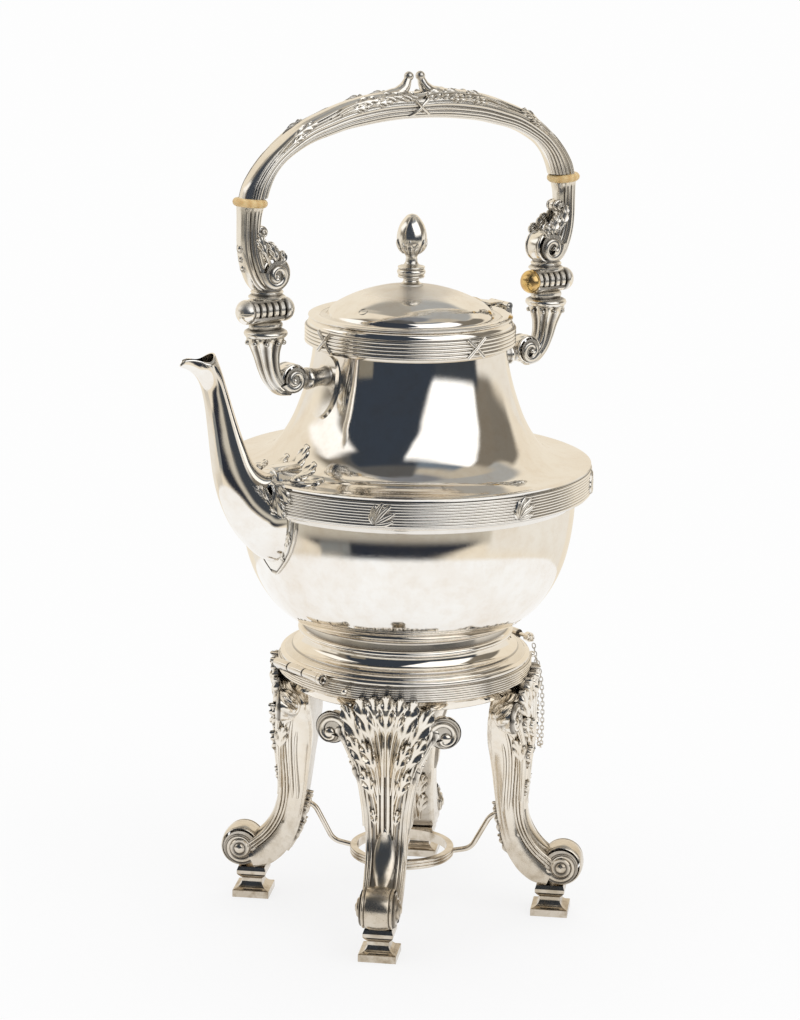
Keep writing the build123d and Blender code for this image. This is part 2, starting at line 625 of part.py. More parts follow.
def finial():
    """Bud on a stem, with its threaded stud through the lid."""
    low = DOME_TOP
    top = FINIAL_TOP
    return lathe(
        Polyline((0, low - 7.5), (FINIAL_STUD, low - 7.5), (FINIAL_STUD, low), (6.0, low),
                 (6.1, low + 1.0)),
        ThreePointArc((6.1, low + 1.0), (3.7, low + 2.2), (3.0, low + 3.8)),
        Line((3.0, low + 3.8), (5.0, low + 4.2)),
        ThreePointArc((5.0, low + 4.2), (8.0, low + 7.2), (5.0, low + 10.2)),
        Line((5.0, low + 10.2), (3.4, low + 10.8)),
        ThreePointArc((3.4, low + 10.8), (2.9, low + 13.4), (4.2, low + 16.2)),
        ThreePointArc((4.2, low + 16.2), (8.1, low + 23.6), (6.4, low + 30.0)),
        ThreePointArc((6.4, low + 30.0), (4.2, low + 33.4), (1.2, top)),
        Polyline((1.2, top), (0, top), (0, low - 7.5)),
    )


def finial_nut():
    high = DOME_TOP - WALL
    nut = Pos(0, 0, high - 3.6) * extrude(RegularPolygon(4.6, 6), 3.6)
    return nut - upright(FINIAL_STUD, high - 10, high + 10)


def lid_hinge_leaf(dome):
    """Ornate leaf on the lid that ends in the middle knuckle."""
    x, z = LID_AXIS
    leaf = loft([
        Plane(origin=(37.0, 0, LID_SEAT + 7.0), x_dir=(0, 1, 0), z_dir=(1, 0, -0.4)) * Ellipse(1.6, 1.2),
        Plane(origin=(44.0, 0, LID_SEAT + 3.2), x_dir=(0, 1, 0), z_dir=(1, 0, -0.4)) * Ellipse(6.0, 1.7),
        Plane(origin=(50.0, 0, LID_SEAT + 2.2), x_dir=(0, 1, 0), z_dir=(1, 0, -0.2)) * Ellipse(4.0, 1.6),
        Plane(origin=(x - 1.4, 0, z + 0.9), x_dir=(0, 1, 0), z_dir=(1, 0, -0.2)) * Ellipse(3.0, 1.2),
    ])
    bore = bar((x, -9, z), (x, 9, z), 0.9 + PIVOT_PLAY)
    inside = dome_body(300)
    below = block((44, -9, 300), (LID_RADIUS + 0.2, 9, LID_SEAT + 1.9))
    return leaf + bar((x, -3.2, z), (x, 3.2, z), 2.0) - bore - inside - dome - below


def lid_hinge_seat(band):
    """Bracket on the neck moulding with the two outer knuckles."""
    x, z = LID_AXIS
    pieces = []
    for y_low, y_high in ((-7.4, -3.2 - KNUCKLE_GAP), (3.2 + KNUCKLE_GAP, 7.4)):
        pieces.append(bar((x, y_low, z), (x, y_high, z), 2.0))
        pieces.append(block((50.5, y_low, z - 6.0), (x + 1.6, y_high, z - 1.4))
                      - block((50, y_low, LID_SEAT - 0.3), (x - 2.4, y_high, 320)))
    pieces.append(block((50.5, -7.4, z - 9.0), (x - 0.4, 7.4, z - 3.4)))
    body = pieces[0] + pieces[1:]
    return body - bar((x, -9, z), (x, 9, z), 0.9) - bar((x, -3.5, z), (x, 3.5, z), 2.5) - band


def lid_hinge_pin():
    x, z = LID_AXIS
    return bar((x, -8.0, z), (x, 8.0, z), 0.9)


# ---------------------------------------------------------------- bail handle
def barrel_spans():
    """Lowest and highest x of every knuckle of the right-hand bail hinge."""
    pitch = BARREL_LENGTH / BARREL_KNUCKLES
    start = BAIL_HINGE_REACH - BARREL_LENGTH / 2
    return [(start + i * pitch + KNUCKLE_GAP / 2, start + (i + 1) * pitch - KNUCKLE_GAP / 2)
            for i in range(BARREL_KNUCKLES)]


def bail_knuckles(first, bore, towards):
    """Every second knuckle, with a web up or down to the piece that carries it."""
    z = BAIL_AXIS_HEIGHT
    pieces = []
    for low, high in barrel_spans()[first::2]:
        web_low, web_high = sorted((z, z + towards * (BARREL_RADIUS + 0.6)))
        pieces.append(bar((low, 0, z), (high, 0, z), BARREL_RADIUS))
        pieces.append(block((low, -3.0, web_low), (high, 3.0, web_high)))
    body = pieces[0] + pieces[1:]
    return body - bar((BAIL_HINGE_REACH - 30, 0, z), (BAIL_HINGE_REACH + 30, 0, z), bore)


def escutcheon():
    """Pointed oval plate on the neck, on the +X side."""
    middle = 278.6
    skin = shoulder_body()
    plate = Plane(origin=(40, 0, middle), x_dir=(0, 1, 0), z_dir=(1, 0, 0)) * Ellipse(8.2, 14.9)
    return (extrude(plate, 30) & shoulder_body(2.0)) - skin


def handle_bracket(plate):
    """Scroll bracket, fluted cup and collar with the fixed knuckles, on the +X side."""
    x = BAIL_HINGE_REACH
    z = BAIL_AXIS_HEIGHT
    cup = loft_sections([
        (x, 306.8, -90, 9.4, 9.4), (x - 0.2, 301.0, -91, 8.0, 8.0), (x - 1.2, 294.0, -99, 6.3, 6.3),
        (x - 3.4, 286.6, -112, 5.2, 5.2), (x - 7.6, 280.6, -138, 4.6, 4.8),
        (x - 13.5, 278.6, -176, 3.8, 4.6),
    ])
    roll = Pos(72.0, 0, 284.0) * Rot(90, 0, 0) * Cylinder(7.0, 9.6)
    eye = Pos(72.0, 0, 284.0) * Rot(90, 0, 0) * Cylinder(3.4, 12.6)
    stem = bar((50, 0, 281.5), (70, 0, 281.5), 3.4)
    collar = Pos(x, 0, 308.6) * Cylinder(10.4, 3.8)
    bead = Pos(x, 0, 305.9) * Cylinder(9.8, 2.2)
    saddle = block((x - BARREL_LENGTH / 2, -4.0, 308.0), (x + BARREL_LENGTH / 2, 4.0, z - BARREL_RADIUS - 0.4))
    knuckles = bail_knuckles(0, BAIL_PIN, -1)
    trim = shoulder_body() + plate
    return (cup + roll + eye + stem + collar + bead + saddle + knuckles) - trim


def arm_pin_hole():
    """Blind hole in line with an insulator, for its pin."""
    lean = Plane(origin=(INSULATOR_REACH, 0, INSULATOR_HEIGHT),
                 z_dir=(-sin(radians(INSULATOR_TILT)), 0, cos(radians(INSULATOR_TILT))))
    return lean * Cylinder(2.0, 18)


def handle_arm():
    """Lower arm of the bail with its C-scroll and moving knuckles, on the +X side."""
    x = BAIL_HINGE_REACH
    base = BAIL_AXIS_HEIGHT + BARREL_RADIUS + 0.5
    foot = Pos(x, 0, base) * Cylinder(8.6, 2.6, align=(Align.CENTER, Align.CENTER, Align.MIN))
    neck = Pos(x, 0, base + 2.6) * Cylinder(7.4, 3.0, align=(Align.CENTER, Align.CENTER, Align.MIN))
    roll = Pos(x - 2.4, 0, 338.6) * Rot(90, 0, 0) * Cylinder(9.2, 10.0)
    eye = Pos(x + 2.6, 0, 337.4) * Rot(90, 0, 0) * Cylinder(4.4, 12.8)
    stem = loft_sections([
        (x + 2.0, 329.0, 35, 5.4, 5.0), (x + 8.2, 336.4, 62, 5.6, 5.4), (x + 11.2, 346.0, 82, 5.8, 5.4),
        (x + 11.0, 356.0, 94, 5.6, 5.2), (x + 9.6, 366.0, 97, 5.4, 5.2), (x + 8.6, 373.0, 97, 5.4, 5.2),
    ])
    curl = Pos(x + 4.4, 0, 359.4) * Rot(90, 0, 0) * Cylinder(2.7, 6.4)
    boss = ball((x + 16.6, 0, 347.6), 2.6)
    knuckles = bail_knuckles(1, BAIL_PIN + PIVOT_PLAY, 1)
    above = Plane(origin=(INSULATOR_REACH, 0, INSULATOR_HEIGHT),
                  z_dir=(-sin(radians(INSULATOR_TILT)), 0, cos(radians(INSULATOR_TILT))))
    cut = above * Pos(0, 0, -INSULATOR_THICKNESS / 2) * Cylinder(20, 20, align=(
        Align.CENTER, Align.CENTER, Align.MIN))
    return foot + neck + roll + eye + stem + curl + boss + knuckles - cut - arm_pin_hole()


def insulator():
    """Ivory-coloured ring that keeps the heat out of the grip, on the +X side."""
    half = INSULATOR_THICKNESS / 2
    r = INSULATOR_RADIUS
    disc = lathe(Line((0, -half), (r - 1.6, -half)),
                 ThreePointArc((r - 1.6, -half), (r, 0), (r - 1.6, half)),
                 Polyline((r - 1.6, half), (0, half), (0, -half)))
    lean = Plane(origin=(INSULATOR_REACH, 0, INSULATOR_HEIGHT),
                 z_dir=(-sin(radians(INSULATOR_TILT)), 0, cos(radians(INSULATOR_TILT))))
    return lean * disc - arm_pin_hole()


GRIP_HALF = [
    # x, z, lean of the run, half height, half width, from the right ring up to the crest
    (98.2, 371.0, 97, 5.6, 5.4),
    (96.0, 381.0, 109, 5.7, 5.4),
    (91.0, 390.2, 127, 5.6, 5.4),
    (82.2, 398.0, 146, 5.8, 5.5),
    (69.0, 404.2, 160, 6.1, 5.6),
    (52.0, 409.2, 166, 6.6, 5.7),
    (34.0, 412.8, 170, 7.2, 5.8),
    (16.0, 415.0, 175, 7.9, 6.0),
]


def handle_grip():
    """Upper arch of the bail, deeper in the middle than at its ends."""
    left = [(-x, z, 360 - lean, a, b) for x, z, lean, a, b in reversed(GRIP_HALF)]
    arch = loft_sections(GRIP_HALF + [(0.0, 415.4, 180, 8.2, 6.1)] + left)
    ends = Plane(origin=(INSULATOR_REACH, 0, INSULATOR_HEIGHT),
                 z_dir=(-sin(radians(INSULATOR_TILT)), 0, cos(radians(INSULATOR_TILT))))
    cut = ends * Pos(0, 0, INSULATOR_THICKNESS / 2) * Cylinder(20, 20, align=(
        Align.CENTER, Align.CENTER, Align.MAX))
    hole = arm_pin_hole()
    return arch - cut - hole - mirrored(cut) - mirrored(hole)


def handle_crest(grip):
    """Two scrolled knobs that meet over a drop-shaped gap in the middle of the arch."""
    z = CREST_TOP - 2.2
    knobs = [ball((side * 3.3, 0, z), 2.2) for side in (-1, 1)]
    stalks = [bar((side * 5.2, 0, 420.0), (side * 3.3, 0, z), 1.5) for side in (-1, 1)]
    wings = [bar((side * 11.0, 0, 421.4), (side * 4.6, 0, 423.6), 1.6) for side in (-1, 1)]
    return knobs[0] + knobs[1:] + stalks + wings - grip


def bail_pin():
    x = BAIL_HINGE_REACH
    reach = BARREL_LENGTH / 2 + 4.0
    return bar((x - reach, 0, BAIL_AXIS_HEIGHT), (x + reach, 0, BAIL_AXIS_HEIGHT), BAIL_PIN)


def bail_cap(side):
    """Ball cap on the end of a bail pin; side is -1 for the kettle's side, +1 outwards."""
    x = BAIL_HINGE_REACH + side * (BARREL_LENGTH / 2 + 3.0)
    face = BAIL_HINGE_REACH + side * (BARREL_LENGTH / 2 + 0.1)
    low, high = sorted((face, face - side * 20))
    sphere = ball((x, 0, BAIL_AXIS_HEIGHT), CAP_RADIUS)
    return sphere - block((low, -9, BAIL_AXIS_HEIGHT - 9), (high, 9, BAIL_AXIS_HEIGHT + 9)) - bail_pin()


# ---------------------------------------------------------------- assembly
def main():
    os.makedirs("parts", exist_ok=True)

    rim = stand_rim()
    write("stand_rim", rim)
    one_leg = leg()
    one_arm = burner_arm(one_leg)
    for name, azimuth in DIAGONALS.items():
        write(f"leg_{name}", turned(one_leg, azimuth))
        write(f"foot_block_{name}", turned(foot_block(), azimuth))
        write(f"burner_arm_{name}", turned(one_arm, azimuth))
    write("burner_ring", burner_ring())

    half = FRONT_HINGE_HALF
    inner = 6.2
    play = SMALL_PIN + PIVOT_PLAY
    write("front_hinge_stand_knuckles",
          stand_lug(*FRONT_HINGE, -half, -inner - KNUCKLE_GAP, play),
          stand_lug(*FRONT_HINGE, inner + KNUCKLE_GAP, half, play))
    write("front_hinge_kettle_knuckle", kettle_lug(*FRONT_HINGE, -inner, inner, play))
    write("front_hinge_pin", front_pin())
    write("rear_lock_stand_knuckle", stand_lug(*REAR_LOCK, -10.0, -KNUCKLE_GAP, play))
    write("rear_lock_kettle_knuckle", kettle_lug(*REAR_LOCK, KNUCKLE_GAP, 8.0, play))
    write("rear_lock_pin", rear_pin())
    write("front_chain_stud", chain_stud(-58.8))
    write("rear_chain_stud", chain_stud(58.8))
    write("lock_chain", *lock_chain())

    write("kettle_bowl", kettle_bowl())
    write("kettle_shoulder", kettle_shoulder())
    band = girdle_band()
    write("girdle_band", band)
    write("girdle_leaves", *girdle_leaves(band))
    write("kettle_foot", kettle_foot())
    collar = neck_band()
    write("neck_band", collar)
    write("neck_ribbon_ties", *neck_ribbon_ties(collar))
    write("spout", spout_solid())
    write("spout_shield", spout_shield())
    write("spout_leaf", spout_leaf())

    dome = lid_dome()
    write("lid_dome", dome)
    write("lid_bezel", lid_bezel())
    write("lid_vent_eyelet", lid_vent_eyelet())
    write("finial", finial())
    write("finial_nut", finial_nut())
    write("lid_hinge_leaf", lid_hinge_leaf(dome))
    write("lid_hinge_seat", lid_hinge_seat(collar))
    write("lid_hinge_pin", lid_hinge_pin())

    plate = escutcheon()
    bracket = handle_bracket(plate)
    arm = handle_arm()
    ring = insulator()
    ring_pin = arm_pin_hole()
    for name, place in (("rear", lambda shape: shape), ("front", mirrored)):
        write(f"handle_escutcheon_{name}", place(plate))
        write(f"handle_bracket_{name}", place(bracket))
        write(f"handle_arm_{name}", place(arm))
        write(f"insulator_{name}", place(ring))
        write(f"insulator_pin_{name}", place(ring_pin))
        write(f"bail_pin_{name}", place(bail_pin()))
        write(f"bail_cap_inner_{name}", place(bail_cap(-1)))
        write(f"bail_cap_outer_{name}", place(bail_cap(1)))
    grip = handle_grip()
    write("handle_grip", grip)
    write("handle_crest", handle_crest(grip))


if __name__ == "__main__":
    main()
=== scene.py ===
import json
from math import atan2, cos, hypot, pi, radians, sin

import bmesh
import bpy
import numpy as np
from mathutils import Matrix, Vector

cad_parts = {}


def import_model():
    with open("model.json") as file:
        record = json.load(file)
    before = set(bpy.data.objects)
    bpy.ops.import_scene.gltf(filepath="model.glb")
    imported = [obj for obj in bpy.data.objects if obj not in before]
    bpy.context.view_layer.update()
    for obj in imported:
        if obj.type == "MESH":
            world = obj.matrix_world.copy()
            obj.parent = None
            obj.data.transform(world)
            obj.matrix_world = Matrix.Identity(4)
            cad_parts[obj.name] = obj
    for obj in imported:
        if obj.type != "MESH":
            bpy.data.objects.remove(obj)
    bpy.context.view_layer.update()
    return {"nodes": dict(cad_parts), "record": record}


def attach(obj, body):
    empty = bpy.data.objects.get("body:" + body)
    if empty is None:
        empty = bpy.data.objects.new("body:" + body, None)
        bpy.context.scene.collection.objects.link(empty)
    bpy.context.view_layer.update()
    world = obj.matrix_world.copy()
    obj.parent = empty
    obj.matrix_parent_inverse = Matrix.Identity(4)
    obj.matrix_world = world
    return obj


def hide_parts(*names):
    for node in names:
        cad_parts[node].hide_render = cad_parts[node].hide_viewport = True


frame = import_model()
nodes = frame["nodes"]

# -------------------- camera
VIEW_AZIMUTH = radians(-37.5)
CAMERA_DISTANCE = 1.49767
CAMERA_HEIGHT = 0.56569
CAMERA_ROLL = radians(0.92)
TARGET_HEIGHT = 0.20938
TARGET_ASIDE = -0.00372
SENSOR = 36.0
LENS = 3046.43 * SENSOR / 1020
TABLE_RADIUS = 0.48
LAMP_TARGET = Vector((0, 0, 0.2))

scene = bpy.context.scene
scene.view_settings.view_transform = "Standard"


def camera():
    eye = Vector((CAMERA_DISTANCE * sin(VIEW_AZIMUTH), -CAMERA_DISTANCE * cos(VIEW_AZIMUTH),
                  CAMERA_HEIGHT))
    aside = TARGET_ASIDE * Vector((cos(VIEW_AZIMUTH), sin(VIEW_AZIMUTH), 0))
    forward = (Vector((0, 0, TARGET_HEIGHT)) + aside - eye).normalized()
    right = forward.cross(Vector((0, 0, 1))).normalized()
    up = right.cross(forward)
    right, up = (right * cos(CAMERA_ROLL) + up * sin(CAMERA_ROLL),
                 up * cos(CAMERA_ROLL) - right * sin(CAMERA_ROLL))
    data = bpy.data.cameras.new("camera")
    data.lens = LENS
    data.sensor_width = SENSOR
    data.clip_end = 50
    view = bpy.data.objects.new("camera", data)
    view.matrix_world = Matrix.Translation(eye) @ Matrix(
        (right, up, -forward)).transposed().to_4x4()
    scene.collection.objects.link(view)
    scene.camera = view


# -------------------- materials
class Nodes:
    """A node tree that is written as short calls."""

    def __init__(self, tree):
        self.tree = tree
        tree.nodes.clear()

    def add(self, kind, *links, **values):
        node = self.tree.nodes.new("ShaderNode" + kind)
        for name, value in values.items():
            if hasattr(node, name):
                setattr(node, name, value)
            else:
                self.put(node.inputs[name.replace("_", " ")], value)
        for index, source in enumerate(links):
            self.put(node.inputs[index], source)
        return node

    def put(self, socket, value):
        if isinstance(value, bpy.types.Node):
            value = value.outputs[0]
        if isinstance(value, bpy.types.NodeSocket):
            self.tree.links.new(value, socket)
        else:
            socket.default_value = value

    def math(self, operation, a, b=0.0, c=0.0):
        return self.add("Math", a, b, c, operation=operation)

    def times(self, a, b):
        return self.math("MULTIPLY", a, b)

    def times_add(self, a, b, c):
        return self.math("MULTIPLY_ADD", a, b, c)

    def ease(self, value, *ends):
        """Soft step from one value to another between two places."""
        return self.add("MapRange", value, *ends, interpolation_type="SMOOTHSTEP")

    def mix(self, factor, a, b):
        """Mixes two colours."""
        node = self.tree.nodes.new("ShaderNodeMix")
        node.data_type = "RGBA"
        for index, value in ((0, factor), (6, a), (7, b)):
            self.put(node.inputs[index], value)
        return node.outputs[2]

    def ramp(self, value, low, high):
        """0 below the low value and 1 above the high one."""
        node = self.add("ValToRGB", value)
        for element, place, level in zip(node.color_ramp.elements, (low, high), (0, 1)):
            element.position = place
            element.color = (level, level, level, 1)
        return node.outputs[0]

    def end(self, shader, kind="OutputMaterial"):
        self.put(self.add(kind).inputs[0], shader)


def material(name):
    """New material, its nodes and the place on the object."""
    made = bpy.data.materials.new(name)
    made.use_nodes = True
    n = Nodes(made.node_tree)
    return made, n, n.add("TexCoord").outputs["Object"]


FILM_LEVELS, FILM = (0.09, 0.18), (0.85, 0.72, 0.54, 1)  # warm film on the stand, metres up
DIRT_LEVELS, DIRT = (0.0, 0.07), (0.40, 0.33, 0.24, 1)  # on the feet
RECESS_SHADE_COLOUR = (0.10, 0.085, 0.07, 1)  # painted shade in the recesses, grooves and gaps
WIPED_LEVELS, WIPED_TOP, WIPED = (0.318, 0.3235), 0.3252, 0.42  # the lid's crown, less glossy


def silver(name, bright, patina, rough, wear, recess_shade=0.0, tarnish=0.35, grain=0.0):
    """Silver: clouded by patina, finely rubbed, and darkened by painted shade where the "cavity"
    attribute is high.
    """
    made, n, place = material(name)
    level = n.add("SeparateXYZ", place).outputs[2]
    clouds = n.add("TexNoise", place, Scale=26.0, Detail=5.0, Roughness=0.62)
    spots = n.add("TexNoise", place, Scale=160.0, Detail=3.0, Roughness=0.6)
    cloud, spot = n.ramp(clouds, 0.38, 0.66), n.ramp(spots, 0.45, 0.70)
    haze = n.times_add(spot, 0.35, n.times(cloud, 0.65))
    colour = n.mix(n.times(haze, tarnish), bright, patina)
    film = n.times(n.add("MapRange", level, *FILM_LEVELS, 0.5, 0.0), n.times_add(haze, 0.7, 0.5))
    colour = n.mix(film, colour, FILM)
    dirt = n.times(n.add("MapRange", level, *DIRT_LEVELS, 1.0, 0.0),
                   n.times_add(spot, 0.45, n.times_add(cloud, 0.3, 0.5)))
    colour = n.mix(dirt, colour, DIRT)
    # painted shade: the cavity attribute darkens recesses, grooves and gaps towards the shade
    # colour, scaled for each material
    dark = n.times(n.add("Attribute", attribute_name="cavity").outputs["Fac"], recess_shade)
    colour = n.mix(dark, colour, RECESS_SHADE_COLOUR)
    rubbing = n.add("TexNoise", n.add("Mapping", place, Scale=(1.0, 1.0, 9.0)),
                    Scale=900.0, Detail=3.0, Roughness=0.7)
    roughness = n.math("ADD", n.times_add(haze, wear, rough),
                       n.times_add(dark, 0.3, n.times(dirt, 0.16)))
    roughness = n.times_add(rubbing, wear * 0.4, roughness)
    wiped = n.times(n.ease(level, *WIPED_LEVELS, 0.0, WIPED),
                    n.math("LESS_THAN", level, WIPED_TOP))
    roughness = n.math("ADD", roughness, wiped)
    bump = n.add("Bump", Strength=0.05 + grain, Distance=0.0004,
                 Height=n.times_add(rubbing, 0.25, n.times(clouds, 0.35 + grain)))
    n.end(n.add("BsdfPrincipled", Base_Color=colour, Metallic=1.0, Roughness=roughness,
                Normal=bump))
    return made


def ivory():
    made, n, place = material("ivory")
    grain = n.add("TexNoise", n.add("Mapping", place, Scale=(1.0, 1.0, 5.0)),
                  Scale=260.0, Detail=4.0)
    rings = n.add("TexWave", place, Scale=90.0, Distortion=3.0, Detail=2.0)
    streak = n.times_add(rings, 0.4, n.times(grain, 0.6))
    shader = n.add("BsdfPrincipled",
                   Base_Color=n.mix(streak, (0.56, 0.34, 0.12, 1), (0.82, 0.64, 0.34, 1)),
                   Roughness=n.times_add(grain, 0.15, 0.26),
                   Normal=n.add("Bump", Strength=0.08, Distance=0.0003, Height=streak))
    for name, value in (("Weight", 0.15), ("Radius", (0.004, 0.003, 0.002)), ("Scale", 0.5)):
        shader.inputs["Subsurface " + name].default_value = value
    n.end(shader)
    return made


def gilt():
    made, n, place = material("gilt")
    worn = n.ramp(n.add("TexNoise", place, Scale=220.0, Detail=4.0), 0.42, 0.62)
    n.end(n.add("BsdfPrincipled", Metallic=1.0, Roughness=n.times_add(worn, 0.14, 0.16),
                Base_Color=n.mix(worn, (0.86, 0.62, 0.26, 1), (0.70, 0.46, 0.20, 1)),
                Normal=n.add("Bump", Strength=0.06, Distance=0.0003, Height=worn)))
    return made


SILVERS = [  # name, bright, patina, roughness, wear, strength of the painted recess shade, tarnish, grain
    ("silver_body", (0.95, 0.93, 0.89, 1), (0.82, 0.73, 0.62, 1), 0.02, 0.06, 0.8, 0.7),
    ("silver_plain", (0.97, 0.94, 0.89, 1), (0.76, 0.68, 0.55, 1), 0.03, 0.05, 1.0),
    ("silver_cast", (0.96, 0.93, 0.87, 1), (0.74, 0.66, 0.55, 1), 0.10, 0.10, 0.9, 0.5, 0.05),
    ("silver_chain", (0.70, 0.69, 0.66, 1), (0.52, 0.49, 0.44, 1), 0.22, 0.16, 0.8),
]
MATERIALS = {name: silver(name, *look) for name, *look in SILVERS}
MATERIALS.update(ivory=ivory(), gilt=gilt())


def dress_cad_nodes():
    for part in frame["record"]["subparts"]:
        shown = nodes[part["node"]]
        shown.data.materials.clear()
        shown.data.materials.append(MATERIALS[part["material_slot"]])


# -------------------- curves and fields, in millimetres
def run_length(points):
    """Distance of each point of a chain from its start."""
    return np.concatenate([[0], np.cumsum(np.linalg.norm(np.diff(points, axis=0), axis=1))])


def even(points, count):
    """The same chain of points, evenly spaced."""
    length = run_length(points)
    want = np.linspace(0, length[-1], count)
    return np.stack([np.interp(want, length, column) for column in points.T], 1)


def smooth(points, count):
    """Smooth curve through points, evenly spaced along its length."""
    p = np.array(points, float)
    gap = np.maximum(np.linalg.norm(np.diff(p, axis=0), axis=1), 1e-9)
    t = np.concatenate([[0], np.cumsum(gap)])
    slope = np.diff(p, axis=0) / gap[:, None]
    tangent = np.vstack([slope[:1], (slope[:-1] * gap[1:, None] + slope[1:] * gap[:-1, None])
                         / (gap[1:] + gap[:-1])[:, None], slope[-1:]])
    s = np.linspace(0, t[-1], 24 * len(p))
    i = np.clip(np.searchsorted(t, s, side="right") - 1, 0, len(p) - 2)
    h = gap[i][:, None]
    u = ((s - t[i]) / gap[i])[:, None]
    fine = ((2 * u ** 3 - 3 * u ** 2 + 1) * p[i] + (u ** 3 - 2 * u ** 2 + u) * h * tangent[i]
            + (3 * u ** 2 - 2 * u ** 3) * p[i + 1] + (u ** 3 - u ** 2) * h * tangent[i + 1])
    return even(fine, count)


def unit(v):
    return v / np.maximum(np.linalg.norm(v, axis=-1, keepdims=True), 1e-9)


def heading(points):
    return unit(np.gradient(points, axis=0))


def follow(line, at):
    """Point and direction, as (x, y, dx, dy), at distances along a curve."""
    length = run_length(line)
    return (np.interp(at, length, column) for column in (*line.T, *heading(line).T))


def mirrored(path, side):
    return np.array(path, float) * (side, 1)


def xyz(*coordinates):
    """Points from coordinate arrays whose shapes broadcast."""
    return np.stack(np.broadcast_arrays(*coordinates), -1)


def sweep(count):
    """Angles of a full turn, in a row."""
    return np.linspace(0, 2 * pi, count)[None, :]


def across(count):
    """Places from edge to edge, -1 to 1, in a row."""
    return np.linspace(-1, 1, count)[None, :]


def clamp(x):
    return np.clip(x, 0, 1)


def bell(x, centre, half):
    """Smooth bump, 1 at the centre and 0 beyond half."""
    return np.where(np.abs(x - centre) < half, 0.5 + 0.5 * np.cos(pi * (x - centre) / half), 0.0)


def groove(t, centre, half):
    """Narrow line, 1 at its centre."""
    return np.exp(-((t - centre) / half) ** 2)


def step(x, low, high):
    t = clamp((x - low) / (high - low))
    return t * t * (3 - 2 * t)


def vault(t, power=2):
    """Round section, 1 in the middle and 0 at both edges."""
    return np.sqrt(clamp(1 - np.abs(t) ** power))


def bead(distance, centre, radius):
    """Height of a half-round bead across a face."""
    return radius * vault((distance - centre) / radius)


def chord(radius, y):
    """Reach of a circle at a distance from its diameter."""
    return np.sqrt(radius ** 2 - y ** 2)


MILLIMETRE, MERGED, VANISHING = 0.001, 2e-6, 1e-6  # in metres: unit, welded gap, shortest edge


class Mesh:
    """Collects patches of points and becomes one piece that rides on a body."""

    def __init__(self):
        self.points, self.faces, self.cavity, self.count = [], [], [], 0

    def grid(self, points, cavity=0.0, close=(False, False)):
        rows, columns = points.shape[:2]
        index = np.arange(rows * columns).reshape(rows, columns) + self.count
        if close[0]:
            index = np.vstack([index, index[:1]])
        if close[1]:
            index = np.hstack([index, index[:, :1]])
        corners = (index[:-1, :-1], index[1:, :-1], index[1:, 1:], index[:-1, 1:])
        self.faces.append(np.stack(corners, -1).reshape(-1, 4))
        self.points.append(points.reshape(-1, 3))
        self.cavity.append(np.broadcast_to(cavity, (rows, columns)).reshape(-1).astype(float))
        self.count += rows * columns
        return self

    def tube(self, points, cavity):
        """Patch whose rows are closed loops."""
        return self.grid(points, cavity, (False, True))

    def fan(self, loop, cavity):
        """Closes a loop with faces to its middle."""
        return self.tube(np.stack([loop, loop * 0 + loop.mean(0)]), cavity)

    def relief(self, host, place, height, cavity):
        """Patch that stands over a surface by a height; host turns a place into point and out."""
        point, out = host(place)
        return self.grid(point + out * height[..., None], cavity)

    def lathe(self, line, sides=48, centre=(0, 0, 0), axis="z", start=0.0, turn=2 * pi):
        """Turns (radius, place along the axis, cavity) points about an axis through a centre."""
        line = np.array([tuple(p) + (0,) * (3 - len(p)) for p in line], float)
        whole = turn >= 2 * pi
        angle = (start + turn * np.arange(sides + (not whole)) / sides)[:, None]
        along, a, b = line[None, :, 1], line[:, 0] * np.cos(angle), line[:, 0] * np.sin(angle)
        order = {"x": (along, a, b), "y": (b, along, a), "z": (a, b, along)}[axis]
        return self.grid(xyz(*order) + np.array(centre, float), line[None, :, 2], (whole, False))

    def turned(self, matrix):
        """A copy turned or mirrored by a 3 x 3 matrix."""
        other = Mesh()
        other.points = [p @ np.transpose(matrix) for p in self.points]
        other.faces, other.cavity = self.faces, self.cavity
        return other

    def build(self, name, body, slot, *replaces, sharp=38):
        made = bpy.data.meshes.new(name)
        made.from_pydata((np.vstack(self.points) * MILLIMETRE).tolist(), [],
                         np.vstack(self.faces).tolist())
        made.update()
        # cavity: how much painted shade each point gets in recesses, grooves and gaps; the silver
        # materials darken by it
        mark = made.attributes.new("cavity", "FLOAT", "POINT")
        mark.data.foreach_set("value", clamp(np.concatenate(self.cavity)).astype(np.float32))
        clean = bmesh.new()
        clean.from_mesh(made)
        bmesh.ops.remove_doubles(clean, verts=clean.verts, dist=MERGED)
        bmesh.ops.dissolve_degenerate(clean, edges=clean.edges, dist=VANISHING)
        bmesh.ops.recalc_face_normals(clean, faces=clean.faces)
        clean.to_mesh(made)
        clean.free()
        made.shade_smooth()
        made.set_sharp_from_angle(angle=radians(sharp))
        made.materials.append(MATERIALS[slot])
        piece = bpy.data.objects.new(name, made)
        scene.collection.objects.link(piece)
        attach(piece, body)
        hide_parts(*replaces)


# -------------------- turned outlines
def reeds(radius, low, high, count, rise, fine=8):
    """Half-round reeds up a cylinder, with painted shade in the grooves."""
    pitch = (high - low) / count
    turns = [(i, pi * k / fine) for i in range(count) for k in range(fine + 1)]
    return [(radius + rise * sin(a), low + (i + 0.5 - 0.5 * cos(a)) * pitch, (1 - sin(a)) ** 2)
            for i, a in turns]


